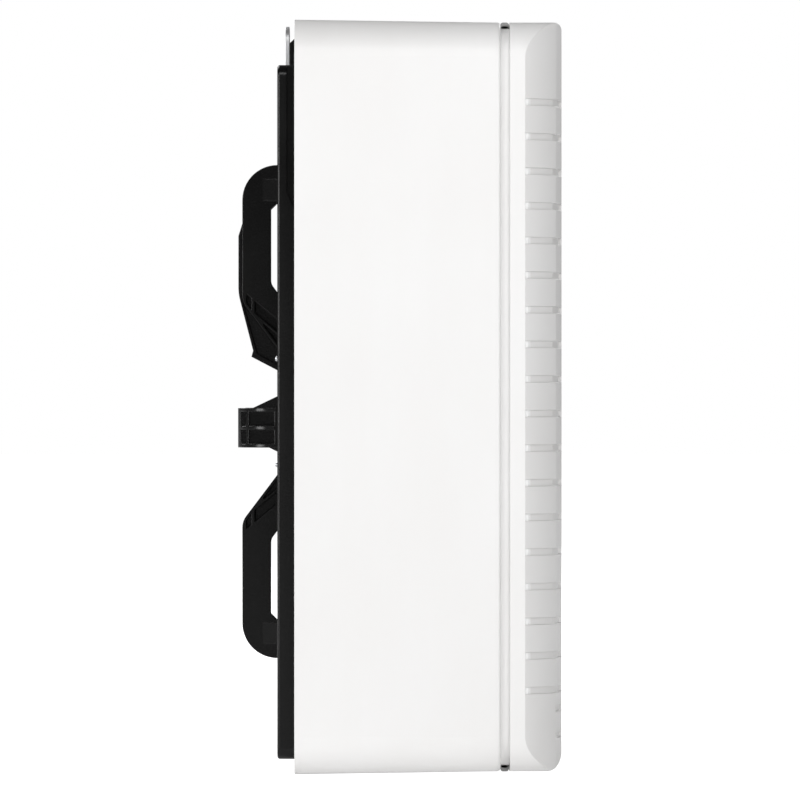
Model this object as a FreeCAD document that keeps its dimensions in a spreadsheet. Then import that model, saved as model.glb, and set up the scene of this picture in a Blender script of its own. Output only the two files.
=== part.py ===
import FreeCAD, Part
import math
import os
import Sketcher

# Window extractor fan: white casing and slotted pull-off cover on the room side,
# black panel and arched motor spider on the window side.
# +Z is up, the cover faces -Y and the window lies at +Y. The fan turns about the Y axis.
# Depths are counted from the panel's window face toward the room, so a depth d lies at y = -d.

SIZES = [
    ("casing_width", 350.0, "outside width of the casing at its rear edge"),
    ("casing_height", 350.0, "outside height of the casing at its rear edge"),
    ("casing_depth", 95.4, "rear edge to front wall"),
    ("casing_draft", 1.35, "how far each side wall leans in over the depth"),
    ("casing_corner", 18.0, "outside corner radius"),
    ("casing_lift", 7.0, "casing centre above the fan axis"),
    ("casing_wall", 2.5, "casing wall"),
    ("casing_edge_round", 1.6, "round on the casing's front outer edge"),
    ("rim_wall", 2.0, "neck that the cover slides over"),
    ("rim_engage", 6.0, "length of the neck inside the cover"),
    ("groove_width", 4.2, "shadow groove between casing and cover"),
    ("boss_radius", 6.0, "casing screw bosses"),
    ("boss_inset", 26.0, "case screws in from the casing's half width and half height"),
    ("slide_gap", 0.6, "cover wall to neck"),
    ("fit_gap", 0.3, "between pieces that drop into one another"),
    ("run_gap", 0.1, "turning pin in its hole"),
    ("press_gap", 0.02, "pressed or threaded fit"),
    ("cover_wall", 2.4, "cover wall"),
    ("cover_side", 7.0, "flat side wall of the cover"),
    ("cover_bevel_in", 16.0, "how far the bevel comes in"),
    ("cover_bevel_depth", 14.4, "how far the bevel comes forward"),
    ("cover_bevel_radius", 42.0, "curve of the bevel"),
    ("cover_crown", 3.4, "curve at the sides of the front"),
    ("cover_crown_run", 32.0, "width of that curve"),
    ("cover_top_round", 3.0, "top front edge"),
    ("cover_bottom_round", 8.5, "bottom front edge"),
    ("slot_height", 2.8, "air slot"),
    ("groove_height", 3.2, "groove that carries a slot on round the bevel"),
    ("slot_floor", 1.5, "depth of the grooves"),
    ("slot_step", 1.6, "flat step where a slot starts"),
    ("slot_step_in", 1.7, "flat step in from the cover's side"),
    ("slot_pitch", 16.0, "slot spacing"),
    ("slot_count", 18.0, "slots that wrap round the bevels"),
    ("slot_first", 38.0, "lowest wrapping slot above the cover's lower edge"),
    ("low_slot_first", 16.6, "lowest front slot above the cover's lower edge"),
    ("low_slot_pitch", 12.4, "spacing of the two front slots"),
    ("rib_wall", 2.0, "upright ribs behind the slats"),
    ("rib_pitch", 37.6, "rib spacing"),
    ("rib_setback", 9.2, "rib edge forward of the cover's rear edge"),
    ("peg_radius", 3.8, "cover pegs"),
    ("peg_inset_x", 23.0, "cover pegs in from the casing's sides"),
    ("peg_inset_z", 57.0, "cover pegs in from the casing's top and bottom"),
    ("socket_radius", 6.5, "hole for a peg socket"),
    ("socket_lip", 1.5, "socket flange beyond its hole"),
    ("plateau_inset", 14.0, "raised square of the rear panel in from the casing's half width"),
    ("plateau_rise", 8.1, "window face above the casing's rear edge"),
    ("plateau_corner", 5.0, "plateau corner radius"),
    ("plateau_edge", 6.0, "side wall of the plateau"),
    ("panel_wall", 3.0, "panel wall"),
    ("rebate_run", 59.0, "rebate on the plateau's sides, from the top edge down"),
    ("rebate_slope", 8.0, "slanted end of the rebate"),
    ("rebate_rise", 4.4, "depth of the window face above the rebate"),
    ("rebate_depth", 3.5, "rebate into the plateau's side"),
    ("seat_ledge", 6.0, "spider seat beyond the air duct"),
    ("duct_wall", 2.5, "duct wall"),
    ("duct_depth", 52.0, "front edge of the duct"),
    ("seat_radius", 124.0, "recess for the spider ring"),
    ("seat_depth", 4.0, "recess depth"),
    ("seat_ring_wall", 5.0, "thick ring beyond the recess"),
    ("seat_ring_depth", 16.0, "front of the thick ring"),
    ("window_hole_radius", 2.75, "mounting holes"),
    ("window_inset_x", 27.0, "mounting holes in from the casing's sides"),
    ("window_inset_z", 75.0, "mounting holes in from the casing's half height"),
    ("panel_rib_wall", 2.0, "stiffening ribs inside the panel"),
    ("pillar_radius", 7.2, "screw pillars inside the panel"),
    ("lug_inset", 80.0, "hanger lugs in from the casing's sides"),
    ("lug_width", 26.0, "hanger lug"),
    ("lug_height", 15.4, "lug above the plateau"),
    ("lug_slope", 3.0, "slanted lug top"),
    ("tab_wall", 1.8, "steel hanger tab"),
    ("tab_width", 16.0, "steel hanger tab"),
    ("tab_depth", 3.0, "tab's rear face"),
    ("tab_height", 20.8, "tab above the plateau"),
    ("tab_insert", 14.0, "tab inside the plateau"),
    ("spider_ring_wall", 8.0, "width of the spider's outer ring"),
    ("spider_sink", 0.2, "ring below the window face"),
    ("arm_inset", 4.7, "outer end of an arm inside the spider seat"),
    ("arm_rise", 19.4, "arm's outside above the window face"),
    ("arm_depth", 13.7, "arm thickness"),
    ("arm_width", 18.5, "arm width"),
    ("arm_drop", 7.5, "level arms below the axis"),
    ("arm_round", 17.0, "rounded outer end"),
    ("arm_leg", 17.3, "thickness of the leg at the outer end"),
    ("arm_bend_outer", 53.0, "where the outside dives to the hub"),
    ("arm_bend_inner", 62.0, "where the inside dives to the hub"),
    ("arm_skew", 35.0, "run of the dive to the hub"),
    ("arm_foot", 1.4, "flare of an upright arm's foot each side"),
    ("level_foot_high", 5.6, "flare of a level arm's foot on its upper side"),
    ("level_foot_low", 1.9, "flare of a level arm's foot on its lower side"),
    ("arm_pocket", 14.0, "pockets in the outer end"),
    ("arm_rib", 1.6, "ribs between the pockets"),
    ("arm_edge", 2.2, "rim along the dive's outside"),
    ("dive_rib_slope", 0.82, "slant of the ribs on the dive"),
    ("dive_rib_near", 35.9, "middle rib of the dive at the window face, from the axis"),
    ("dive_rib_far", 43.3, "last rib of the dive at the window face, from the axis"),
    ("hub_radius", 44.0, "spider hub"),
    ("hub_depth", 7.0, "hub's outside face"),
    ("hub_wall", 5.0, "hub disc"),
    ("hub_bore", 11.0, "opening behind the motor"),
    ("lid_wall", 1.9, "lead cover"),
    ("lid_inset", 28.3, "outer end of the lead cover in from the arm's end"),
    ("lid_nose", 22.0, "inner end of the lead cover from the axis"),
    ("cheek_setback", 3.0, "lead cover's cheeks in from its edges"),
    ("cheek_wall", 1.5, "lead cover's cheeks"),
    ("motor_radius", 42.0, "motor"),
    ("motor_wall", 2.0, "motor caps"),
    ("cap_depth", 9.0, "rear motor cap"),
    ("front_cap_depth", 8.0, "front motor cap"),
    ("stack_depth", 20.0, "stator laminations"),
    ("stator_bore", 23.0, "stator bore"),
    ("air_gap", 0.5, "rotor to stator"),
    ("stator_slots", 12.0, "stator slots"),
    ("shaft_radius", 4.0, "shaft"),
    ("bearing_radius", 9.5, "bearings"),
    ("bearing_depth", 6.0, "bearing length"),
    ("motor_bolt_radius", 1.9, "motor through bolts"),
    ("motor_bolt_ring", 36.0, "through bolts from the axis"),
    ("motor_bolt_end", 10.2, "through bolts beyond the hub's outside face"),
    ("motor_nut_radius", 4.04, "nuts across their corners, halved"),
    ("motor_nut_height", 3.2, "nuts"),
    ("tip_gap", 4.0, "blade tips to the duct"),
    ("cup_radius", 48.0, "impeller hub"),
    ("cup_wall", 2.4, "impeller hub wall"),
    ("cup_rear", 18.0, "open rear edge of the hub"),
    ("cup_front", 56.0, "front face of the hub"),
    ("blade_count", 6.0, "blades"),
    ("blade_wall", 2.2, "blade thickness"),
    ("blade_middle", 36.0, "middle of the blades"),
    ("blade_root_chord", 54.0, "blade width at the hub"),
    ("blade_tip_chord", 86.0, "blade width at the tip"),
    ("blade_root_angle", 38.0, "blade pitch at the hub, degrees"),
    ("blade_tip_angle", 22.0, "blade pitch at the tip, degrees"),
    ("blade_root_curve", 46.0, "camber radius at the hub"),
    ("blade_tip_curve", 120.0, "camber radius at the tip"),
    ("nut_radius", 11.0, "spinner nut"),
    ("nut_height", 8.5, "spinner nut"),
    ("drive_pin_radius", 1.2, "drive pin"),
    ("drive_pin_length", 18.0, "drive pin"),
    ("cone_flare", 13.0, "how far the inlet cone flares"),
    ("cone_depth", 12.0, "inlet cone"),
    ("cone_wall", 2.0, "inlet cone"),
    ("shutter_wall", 2.5, "shutter frame"),
    ("shutter_inset", 69.0, "shutter opening in from the casing's sides"),
    ("cheek_inset", 57.0, "inner faces of the frame's cheeks in from the casing's sides"),
    ("cheek_depth", 9.0, "cheeks"),
    ("flap_count", 7.0, "shutter flaps"),
    ("flap_pitch", 32.0, "flap spacing"),
    ("flap_gap", 0.8, "between closed flaps"),
    ("flap_wall", 1.2, "flap"),
    ("flap_rod_radius", 1.6, "flap rod"),
    ("flap_setback", 2.9, "flap rod behind the shutter frame"),
    ("flap_lead", 1.0, "flap above its rod"),
    ("crank_length", 13.0, "rod to tie pin"),
    ("crank_wall", 2.0, "crank ear"),
    ("tie_pin_radius", 1.2, "tie pin"),
    ("tie_width", 4.6, "tie bar"),
    ("tie_wall", 2.0, "tie bar"),
    ("seal_proud", 0.2, "cover seal strips beyond the neck's groove"),
    ("screw_radius", 1.6, "small screws"),
    ("screw_head_radius", 3.0, "small screw heads"),
    ("screw_head", 1.8, "small screw heads"),
    ("spider_screw_length", 10.0, "spider screws under the head"),
    ("case_screw_radius", 2.0, "case screws"),
    ("case_screw_head_radius", 3.8, "case screw heads"),
    ("case_screw_head", 2.4, "case screw heads"),
    ("case_screw_length", 26.0, "case screws under the head"),
    ("block_width", 40.0, "terminal block"),
    ("block_height", 20.0, "terminal block"),
    ("block_depth", 15.0, "terminal block"),
    ("block_inset_x", 55.0, "terminal block in from the casing's side"),
    ("block_inset_z", 53.0, "terminal block below the casing's half height"),
    ("gland_radius", 7.0, "cable entry"),
    ("gland_inset", 29.5, "cable entry below the casing's half height"),
]


class Formula:
    """A number that also knows how it is written in the size sheet."""

    def __init__(self, value, text):
        self.value = value
        self.text = text

    def __add__(self, other):
        other = formula(other)
        return Formula(self.value + other.value, f"({self.text} + {other.text})")

    def __sub__(self, other):
        other = formula(other)
        return Formula(self.value - other.value, f"({self.text} - {other.text})")

    def __mul__(self, other):
        other = formula(other)
        return Formula(self.value * other.value, f"({self.text} * {other.text})")

    def __truediv__(self, other):
        other = formula(other)
        return Formula(self.value / other.value, f"({self.text} / {other.text})")

    def __radd__(self, other):
        return formula(other) + self

    def __rsub__(self, other):
        return formula(other) - self

    def __rmul__(self, other):
        return formula(other) * self

    def __neg__(self):
        return Formula(-self.value, f"(-1 * {self.text})")


def formula(item):
    """Take a plain number as a formula too."""
    if isinstance(item, Formula):
        return item
    return Formula(float(item), f"({float(item)!r})")


def sine(angle):
    return Formula(math.sin(math.radians(angle.value)), f"sin({angle.text})")


def cosine(angle):
    return Formula(math.cos(math.radians(angle.value)), f"cos({angle.text})")


def slope_angle(rise, run):
    """The angle, in degrees, of a slope that rises over a run."""
    ratio = formula(rise) / formula(run)
    return Formula(math.degrees(math.atan(ratio.value)), f"atan({ratio.text})")


def half_tangent(angle):
    return Formula(math.tan(math.radians(angle.value / 2)), f"tan({angle.text} / 2)")


class SheetSizes:
    """The size sheet: every size by its name."""

    def __init__(self, doc, rows):
        self.sheet = doc.addObject("Spreadsheet::Sheet", "Sizes")
        for number, (name, value, note) in enumerate(rows, start=1):
            self.sheet.set(f"A{number}", name)
            self.sheet.set(f"B{number}", str(value))
            self.sheet.setAlias(f"B{number}", name)
            self.sheet.set(f"C{number}", note)
            setattr(self, name, Formula(value, f"Sizes.{name}"))


doc = FreeCAD.newDocument("window_extractor_fan")
S = SheetSizes(doc, SIZES)
doc.recompute()
FINISHED = []


def bind(item, prop, size):
    """Tie a property to the size sheet."""
    item.setExpression(prop, formula(size).text)


def new_body(name):
    body = doc.addObject("PartDesign::Body", name)
    body.Label = name
    body.AllowCompound = True
    return body


def origin_item(body, role):
    for item in body.Origin.OriginFeatures:
        if item.Role == role:
            return item
    raise ValueError(role)


class Drawing:
    """A sketch on one of a body's origin planes.

    On "XZ" it is drawn in x and z and its offset is a depth toward the room.
    On "YZ" it is drawn in y and z and its offset is an x.
    On "XY" it is drawn in x and y and its offset is a height.
    """

    def __init__(self, body, name, plane, offset=0):
        self.sketch = body.newObject("Sketcher::SketchObject", name)
        self.sketch.AttachmentSupport = (origin_item(body, plane + "_Plane"), [""])
        self.sketch.MapMode = "FlatFace"
        bind(self.sketch, "AttachmentOffset.Base.z", offset)

    def rule(self, *parts):
        """Add a constraint; a formula as its last part is tied to the sheet."""
        if isinstance(parts[-1], Formula):
            number = self.sketch.addConstraint(Sketcher.Constraint(*parts[:-1], parts[-1].value))
            self.sketch.setExpression(f"Constraints[{number}]", parts[-1].text)
        else:
            self.sketch.addConstraint(Sketcher.Constraint(*parts))

    def pin(self, item, end, x, y):
        """Fix one end of an item at x, y."""
        self.rule("DistanceX", -1, 1, item, end, formula(x))
        self.rule("DistanceY", -1, 1, item, end, formula(y))

    def circle(self, radius, x=0, y=0):
        middle = FreeCAD.Vector(formula(x).value, formula(y).value, 0)
        ring = Part.Circle(middle, FreeCAD.Vector(0, 0, 1), formula(radius).value)
        item = self.sketch.addGeometry(ring)
        self.rule("Radius", item, formula(radius))
        self.pin(item, 3, x, y)
        return self

    def box(self, left, low, right, high, corner=None):
        """A rectangle, with rounded corners if a corner radius is given."""
        spots = [(left, low), (right, low), (right, high), (left, high)]
        if corner is None:
            return self.outline(spots)
        return self.outline([(x, y, corner) for x, y in spots])

    def middle_box(self, width, height, corner=None, x=0, y=0):
        x = formula(x)
        y = formula(y)
        half_width = formula(width) / 2
        half_height = formula(height) / 2
        return self.box(x - half_width, y - half_height, x + half_width, y + half_height, corner)

    def outline(self, corners, arcs=None):
        """A closed outline, corners given anticlockwise as (x, y) or (x, y, round).

        arcs gives a radius for an edge that is an arc, by the edge's number, bulging
        outward for a positive radius and inward for a negative one.
        """
        arcs = arcs or {}
        count = len(corners)
        spots = [FreeCAD.Vector(formula(c[0]).value, formula(c[1]).value, 0) for c in corners]
        rounds = [formula(c[2]) if len(c) > 2 else None for c in corners]
        starts = list(spots)
        ends = spots[1:] + spots[:1]
        turns = []
        for i in range(count):
            turns.append(None)
            if rounds[i] is None:
                continue
            back = (spots[i - 1] - spots[i]).normalize()
            ahead = (spots[(i + 1) % count] - spots[i]).normalize()
            half = math.acos(max(-1.0, min(1.0, back.dot(ahead)))) / 2
            reach = rounds[i].value / math.tan(half)
            ends[i - 1] = spots[i] + back * reach
            starts[i] = spots[i] + ahead * reach
            middle = spots[i] + (back + ahead).normalize() * (rounds[i].value / math.sin(half))
            left_turn = back.cross(ahead).z < 0
            turns[i] = (middle, left_turn)
        edges = []
        for i in range(count):
            if i in arcs:
                edges.append(self.add_arc_edge(starts[i], ends[i], formula(arcs[i])))
            else:
                line = self.sketch.addGeometry(Part.LineSegment(starts[i], ends[i]))
                edges.append((line, 1, 2))
        for i in range(count):
            before = edges[i - 1]
            after = edges[i]
            if turns[i] is None:
                self.rule("Coincident", before[0], before[2], after[0], after[1])
                self.pin(after[0], after[1], corners[i][0], corners[i][1])
                continue
            self.add_round(before, after, corners[i], rounds[i], turns[i], ends[i - 1], starts[i])
        return self

    def add_arc_edge(self, start, end, radius):
        """An arc from start to end; returns its number and which end is which."""
        chord = end - start
        right = FreeCAD.Vector(chord.y, -chord.x, 0).normalize()
        size = abs(radius.value)
        inset = math.sqrt(size * size - chord.Length * chord.Length / 4)
        outward = radius.value > 0
        middle = (start + end) * 0.5 + right * (-inset if outward else inset)
        first, last = (start, end) if outward else (end, start)
        begin = math.atan2(first.y - middle.y, first.x - middle.x)
        finish = math.atan2(last.y - middle.y, last.x - middle.x)
        ring = Part.Circle(middle, FreeCAD.Vector(0, 0, 1), size)
        item = self.sketch.addGeometry(Part.ArcOfCircle(ring, begin, finish))
        self.rule("Radius", item, radius if outward else -radius)
        return (item, 1, 2) if outward else (item, 2, 1)

    def add_round(self, before, after, corner, radius, turn, start, end):
        """Round one corner of an outline, with the sharp corner kept as a helper point."""
        middle, left_turn = turn
        first, last = (start, end) if left_turn else (end, start)
        begin = math.atan2(first.y - middle.y, first.x - middle.x)
        finish = math.atan2(last.y - middle.y, last.x - middle.x)
        ring = Part.Circle(middle, FreeCAD.Vector(0, 0, 1), radius.value)
        arc = self.sketch.addGeometry(Part.ArcOfCircle(ring, begin, finish))
        spot = FreeCAD.Vector(formula(corner[0]).value, formula(corner[1]).value, 0)
        point = self.sketch.addGeometry(Part.Point(spot), True)
        self.pin(point, 1, corner[0], corner[1])
        self.rule("PointOnObject", point, 1, before[0])
        self.rule("PointOnObject", point, 1, after[0])
        arc_in, arc_out = (1, 2) if left_turn else (2, 1)
        self.rule("Tangent", before[0], before[2], arc, arc_in)
        self.rule("Tangent", arc, arc_out, after[0], after[1])
        self.rule("Radius", arc, radius)


def pad(body, drawing, length, name, taper=None, both_ways=False, back=False):
    """Raise a drawing along its plane's normal."""
    item = body.newObject("PartDesign::Pad", name)
    item.Profile = drawing.sketch
    item.SideType = "Symmetric" if both_ways else "One side"
    item.Reversed = back
    bind(item, "Length", length)
    if taper is not None:
        bind(item, "TaperAngle", taper)
    return settle(body, item)


def pocket(body, drawing, depth, name, taper=None, both_ways=False, ahead=False):
    """Cut a drawing against its plane's normal, or along it with ahead."""
    before = body.Tip.Shape.Volume
    item = body.newObject("PartDesign::Pocket", name)
    item.Profile = drawing.sketch
    item.SideType = "Symmetric" if both_ways else "One side"
    item.Reversed = ahead
    bind(item, "Length", depth)
    if taper is not None:
        bind(item, "TaperAngle", taper)
    settle(body, item)
    if item.Shape.Volume > before - 0.01:
        raise ValueError(f"{name} cuts nothing")
    return item


def turned(body, drawing, name, cut=False):
    """Revolve a drawing on the YZ plane about the fan axis."""
    item = body.newObject("PartDesign::Groove" if cut else "PartDesign::Revolution", name)
    item.Profile = drawing.sketch
    item.ReferenceAxis = (drawing.sketch, ["H_Axis"])
    item.Angle = 360
    return settle(body, item)


def around(body, features, count, name):
    """Repeat features about the fan axis."""
    item = body.newObject("PartDesign::PolarPattern", name)
    item.Originals = features
    item.Axis = (origin_item(body, "Y_Axis"), [""])
    item.Angle = 360
    bind(item, "Occurrences", count)
    return settle(body, item)


def in_row(body, features, axis, length, count, name):
    """Repeat features along an axis of the body."""
    item = body.newObject("PartDesign::LinearPattern", name)
    item.Originals = features
    item.Direction = (origin_item(body, axis), [""])
    bind(item, "Length", length)
    bind(item, "Occurrences", count)
    return settle(body, item)


def mirrored(body, features, plane, name):
    item = body.newObject("PartDesign::Mirrored", name)
    item.Originals = features
    item.MirrorPlane = (origin_item(body, plane + "_Plane"), [""])
    return settle(body, item)


def rounded(body, radius, choose, name):
    """Round the edges of a body's tip that choose picks."""
    base = body.Tip
    picked = [f"Edge{n}" for n, edge in enumerate(base.Shape.Edges, start=1) if choose(edge)]
    if not picked:
        raise ValueError(f"{name} finds no edge")
    item = body.newObject("PartDesign::Fillet", name)
    item.Base = (base, picked)
    bind(item, "Radius", radius)
    return settle(body, item)


def settle(body, item):
    body.Tip = item
    doc.recompute()
    if "Invalid" in item.State or item.Shape.isNull() or not item.Shape.isValid():
        raise ValueError(f"{item.Name} failed: {item.State}")
    return item


def finish(item, name):
    """Mark an object as one piece of the part."""
    item.Label = name
    FINISHED.append((name, item))
    return item


def boolean(kind, name, items):
    """Combine objects: Cut takes two, MultiCommon and MultiFuse any number."""
    result = doc.addObject("Part::" + kind, name)
    if kind == "Cut":
        result.Base, result.Tool = items
    else:
        result.Shapes = items
    doc.recompute()
    if result.Shape.isNull() or not result.Shape.isValid():
        raise ValueError(f"{name} failed")
    return result


def group(name, items):
    """Separate solids that share one name."""
    result = doc.addObject("Part::Compound", name)
    result.Links = items
    doc.recompute()
    return result


def cylinder(name, radius, length, x, depth, z, toward_room=True):
    """A round bar along the fan axis, from a depth toward the room or the window."""
    item = doc.addObject("Part::Cylinder", name)
    bind(item, "Radius", radius)
    bind(item, "Height", length)
    turn = FreeCAD.Rotation(FreeCAD.Vector(1, 0, 0), 90 if toward_room else -90)
    item.Placement = FreeCAD.Placement(FreeCAD.Vector(0, 0, 0), turn)
    bind(item, "Placement.Base.x", x)
    bind(item, "Placement.Base.y", -formula(depth))
    bind(item, "Placement.Base.z", z)
    return item


def hexagon(name, radius, length, x, depth, z):
    """A six-sided bar along the fan axis, from a depth toward the window."""
    item = doc.addObject("Part::Prism", name)
    item.Polygon = 6
    bind(item, "Circumradius", radius)
    bind(item, "Height", length)
    turn = FreeCAD.Rotation(FreeCAD.Vector(1, 0, 0), -90)
    item.Placement = FreeCAD.Placement(FreeCAD.Vector(0, 0, 0), turn)
    bind(item, "Placement.Base.x", x)
    bind(item, "Placement.Base.y", -formula(depth))
    bind(item, "Placement.Base.z", z)
    return item


def block(name, left, right, near, far, low, high):
    """A box between two x, two depths and two heights."""
    item = doc.addObject("Part::Box", name)
    bind(item, "Length", formula(right) - left)
    bind(item, "Width", formula(far) - near)
    bind(item, "Height", formula(high) - low)
    bind(item, "Placement.Base.x", left)
    bind(item, "Placement.Base.y", -formula(far))
    bind(item, "Placement.Base.z", low)
    return item


def screw(name, radius, length, head_radius, head, x, depth, z, toward_room=True):
    """A round-headed screw whose head's underside is at a depth."""
    shank = cylinder(name + "_shank", radius, length, x, depth, z, toward_room)
    cap = cylinder(name + "_head", head_radius, head, x, depth, z, not toward_room)
    return boolean("MultiFuse", name, [shank, cap])


def four_corners(half_x, half_z, middle_z=0):
    half_x = formula(half_x)
    half_z = formula(half_z)
    middle_z = formula(middle_z)
    return [(half_x * a, middle_z + half_z * b) for a, b in ((-1, -1), (1, -1), (1, 1), (-1, 1))]


# Places that several pieces share.
casing_front = S.plateau_rise + S.casing_depth
front_wall_inside = casing_front - S.casing_wall
front_width = S.casing_width - 2 * S.casing_draft
front_height = S.casing_height - 2 * S.casing_draft
draft_angle = slope_angle(S.casing_draft, S.casing_depth)
cover_rear = casing_front + S.groove_width
cover_crease = cover_rear + S.cover_side
cover_front_crease = cover_crease + S.cover_bevel_depth
cover_front = cover_front_crease + S.cover_crown
cover_low = S.casing_lift - front_height / 2
rim_inset = S.cover_wall + S.slide_gap
flange_front = S.plateau_rise + S.panel_wall
casing_half_x = S.casing_width / 2
casing_half_z = S.casing_height / 2
plateau_half_x = casing_half_x - S.plateau_inset
plateau_half = casing_half_z - S.plateau_inset
lug_half = casing_half_x - S.lug_inset
duct_radius = S.seat_radius - S.seat_ledge
seat_ring_radius = S.seat_radius + S.seat_ring_wall
arm_reach = S.seat_radius - S.arm_inset
impeller_radius = duct_radius - S.tip_gap
lid_start = arm_reach - S.lid_inset
shutter_half = casing_half_x - S.shutter_inset
cheek_half = casing_half_x - S.cheek_inset
block_x = casing_half_x - S.block_inset_x
block_z = casing_half_z - S.block_inset_z
gland_z = casing_half_z - S.gland_inset
tab_screw_height = plateau_half - S.tab_insert / 2
hub_front = S.hub_depth + S.hub_wall
stack_rear = hub_front + S.cap_depth
stack_front = stack_rear + S.stack_depth
motor_front = stack_front + S.front_cap_depth
nut_front = S.cup_front + S.nut_height
shutter_face = front_wall_inside - S.shutter_wall
flap_axis = shutter_face - S.flap_setback
flap_half_height = S.flap_count * S.flap_pitch / 2
tie_middle = cheek_half - 5
peg_places = four_corners(casing_half_x - S.peg_inset_x, casing_half_z - S.peg_inset_z, S.casing_lift)
boss_places = four_corners(casing_half_x - S.boss_inset, casing_half_z - S.boss_inset)
window_places = four_corners(casing_half_x - S.window_inset_x, casing_half_z - S.window_inset_z)
shutter_screw_half_x = cheek_half + 7
shutter_screw_half_z = flap_half_height - 8
shutter_screw_places = four_corners(shutter_screw_half_x, shutter_screw_half_z)


def make_casing():
    body = new_body("casing")
    outside = Drawing(body, "casing_outline", "XZ", S.plateau_rise)
    outside.middle_box(S.casing_width, S.casing_height, S.casing_corner, 0, S.casing_lift)
    pad(body, outside, S.casing_depth, "casing_block", taper=-draft_angle)
    front_y = -casing_front.value
    rounded(
        body,
        S.casing_edge_round,
        lambda edge: abs(edge.BoundBox.YMin - front_y) < 0.01 and abs(edge.BoundBox.YMax - front_y) < 0.01,
        "casing_front_edge",
    )
    inside = Drawing(body, "casing_hollow_outline", "XZ", S.plateau_rise)
    inside.middle_box(
        S.casing_width - 2 * S.casing_wall,
        S.casing_height - 2 * S.casing_wall,
        S.casing_corner - S.casing_wall,
        0,
        S.casing_lift,
    )
    pocket(body, inside, S.casing_depth - S.casing_wall, "casing_hollow", taper=-draft_angle, ahead=True)
    neck = Drawing(body, "neck_outline", "XZ", front_wall_inside)
    neck_corner = S.casing_corner - S.casing_draft - rim_inset
    neck.middle_box(front_width - 2 * rim_inset, front_height - 2 * rim_inset, neck_corner, 0, S.casing_lift)
    neck_inset = rim_inset + S.rim_wall
    neck.middle_box(
        front_width - 2 * neck_inset,
        front_height - 2 * neck_inset,
        neck_corner - S.rim_wall,
        0,
        S.casing_lift,
    )
    pad(body, neck, S.casing_wall + S.groove_width + S.rim_engage, "neck")
    bosses = Drawing(body, "boss_circles", "XZ", flange_front)
    for x, z in boss_places:
        bosses.circle(S.boss_radius, x, z)
    pad(body, bosses, front_wall_inside - flange_front + 0.5 * S.casing_wall, "bosses")
    pilots = Drawing(body, "boss_pilots", "XZ", flange_front)
    for x, z in boss_places:
        pilots.circle(S.case_screw_radius + S.press_gap, x, z)
    pocket(body, pilots, S.case_screw_length, "boss_holes", ahead=True)
    opening = Drawing(body, "front_opening_outline", "XZ", front_wall_inside)
    opening.middle_box(2 * shutter_half + 8, 2 * flap_half_height + 4, 6)
    pocket(body, opening, 2 * S.casing_wall, "front_opening", ahead=True)
    sockets = Drawing(body, "socket_circles", "XZ", front_wall_inside)
    for x, z in peg_places:
        sockets.circle(S.socket_radius, x, z)
    pocket(body, sockets, 2 * S.casing_wall, "socket_holes", ahead=True)
    holes = Drawing(body, "shutter_screw_circles", "XZ", front_wall_inside)
    for x, z in shutter_screw_places:
        holes.circle(S.screw_radius + S.press_gap, x, z)
    pocket(body, holes, 2 * S.casing_wall, "shutter_screw_holes", ahead=True)
    finish(body, "casing")


def cover_form(name, inset):
    """The cover's outer form, or the same form a wall thickness inside it."""
    inset = formula(inset)
    bevel_turn = slope_angle(S.cover_bevel_in, S.cover_bevel_depth)
    front_turn = slope_angle(S.cover_bevel_depth, S.cover_bevel_in)
    half = front_width / 2
    side_x = half - inset
    side_depth = cover_crease - inset * half_tangent(bevel_turn)
    crease_x = half - S.cover_bevel_in - inset * half_tangent(front_turn)
    crease_depth = cover_front_crease - inset
    face_x = crease_x - S.cover_crown_run
    run = S.cover_crown_run
    crown_radius = (run * run + S.cover_crown * S.cover_crown) / (2 * S.cover_crown)
    bevel_radius = S.cover_bevel_radius - inset
    front = cover_front - inset
    rear = cover_rear - inset
    plan = new_body(name + "_plan")
    drawing = Drawing(plan, name + "_plan_outline", "XY", S.casing_lift)
    drawing.outline(
        [
            (-side_x, -rear),
            (-side_x, -side_depth),
            (-crease_x, -crease_depth),
            (-face_x, -front),
            (face_x, -front),
            (crease_x, -crease_depth),
            (side_x, -side_depth),
            (side_x, -rear),
        ],
        arcs={1: bevel_radius, 2: crown_radius, 4: crown_radius, 5: bevel_radius},
    )
    pad(plan, drawing, front_height, name + "_plan_pad", both_ways=True)
    face = new_body(name + "_face")
    drawing = Drawing(face, name + "_face_outline", "XZ", rear)
    corner = S.casing_corner - S.casing_draft - inset
    drawing.middle_box(front_width - 2 * inset, front_height - 2 * inset, corner, 0, S.casing_lift)
    pad(face, drawing, cover_front - cover_rear + S.cover_wall, name + "_face_pad")
    side = new_body(name + "_side")
    drawing = Drawing(side, name + "_side_outline", "YZ", 0)
    half_height = front_height / 2 - inset
    drawing.outline(
        [
            (-front, S.casing_lift + half_height, S.cover_top_round - inset),
            (-front, S.casing_lift - half_height, S.cover_bottom_round - inset),
            (-rear, S.casing_lift - half_height),
            (-rear, S.casing_lift + half_height),
        ]
    )
    pad(side, drawing, front_width, name + "_side_pad", both_ways=True)
    return boolean("MultiCommon", name, [plan, face, side])


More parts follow.
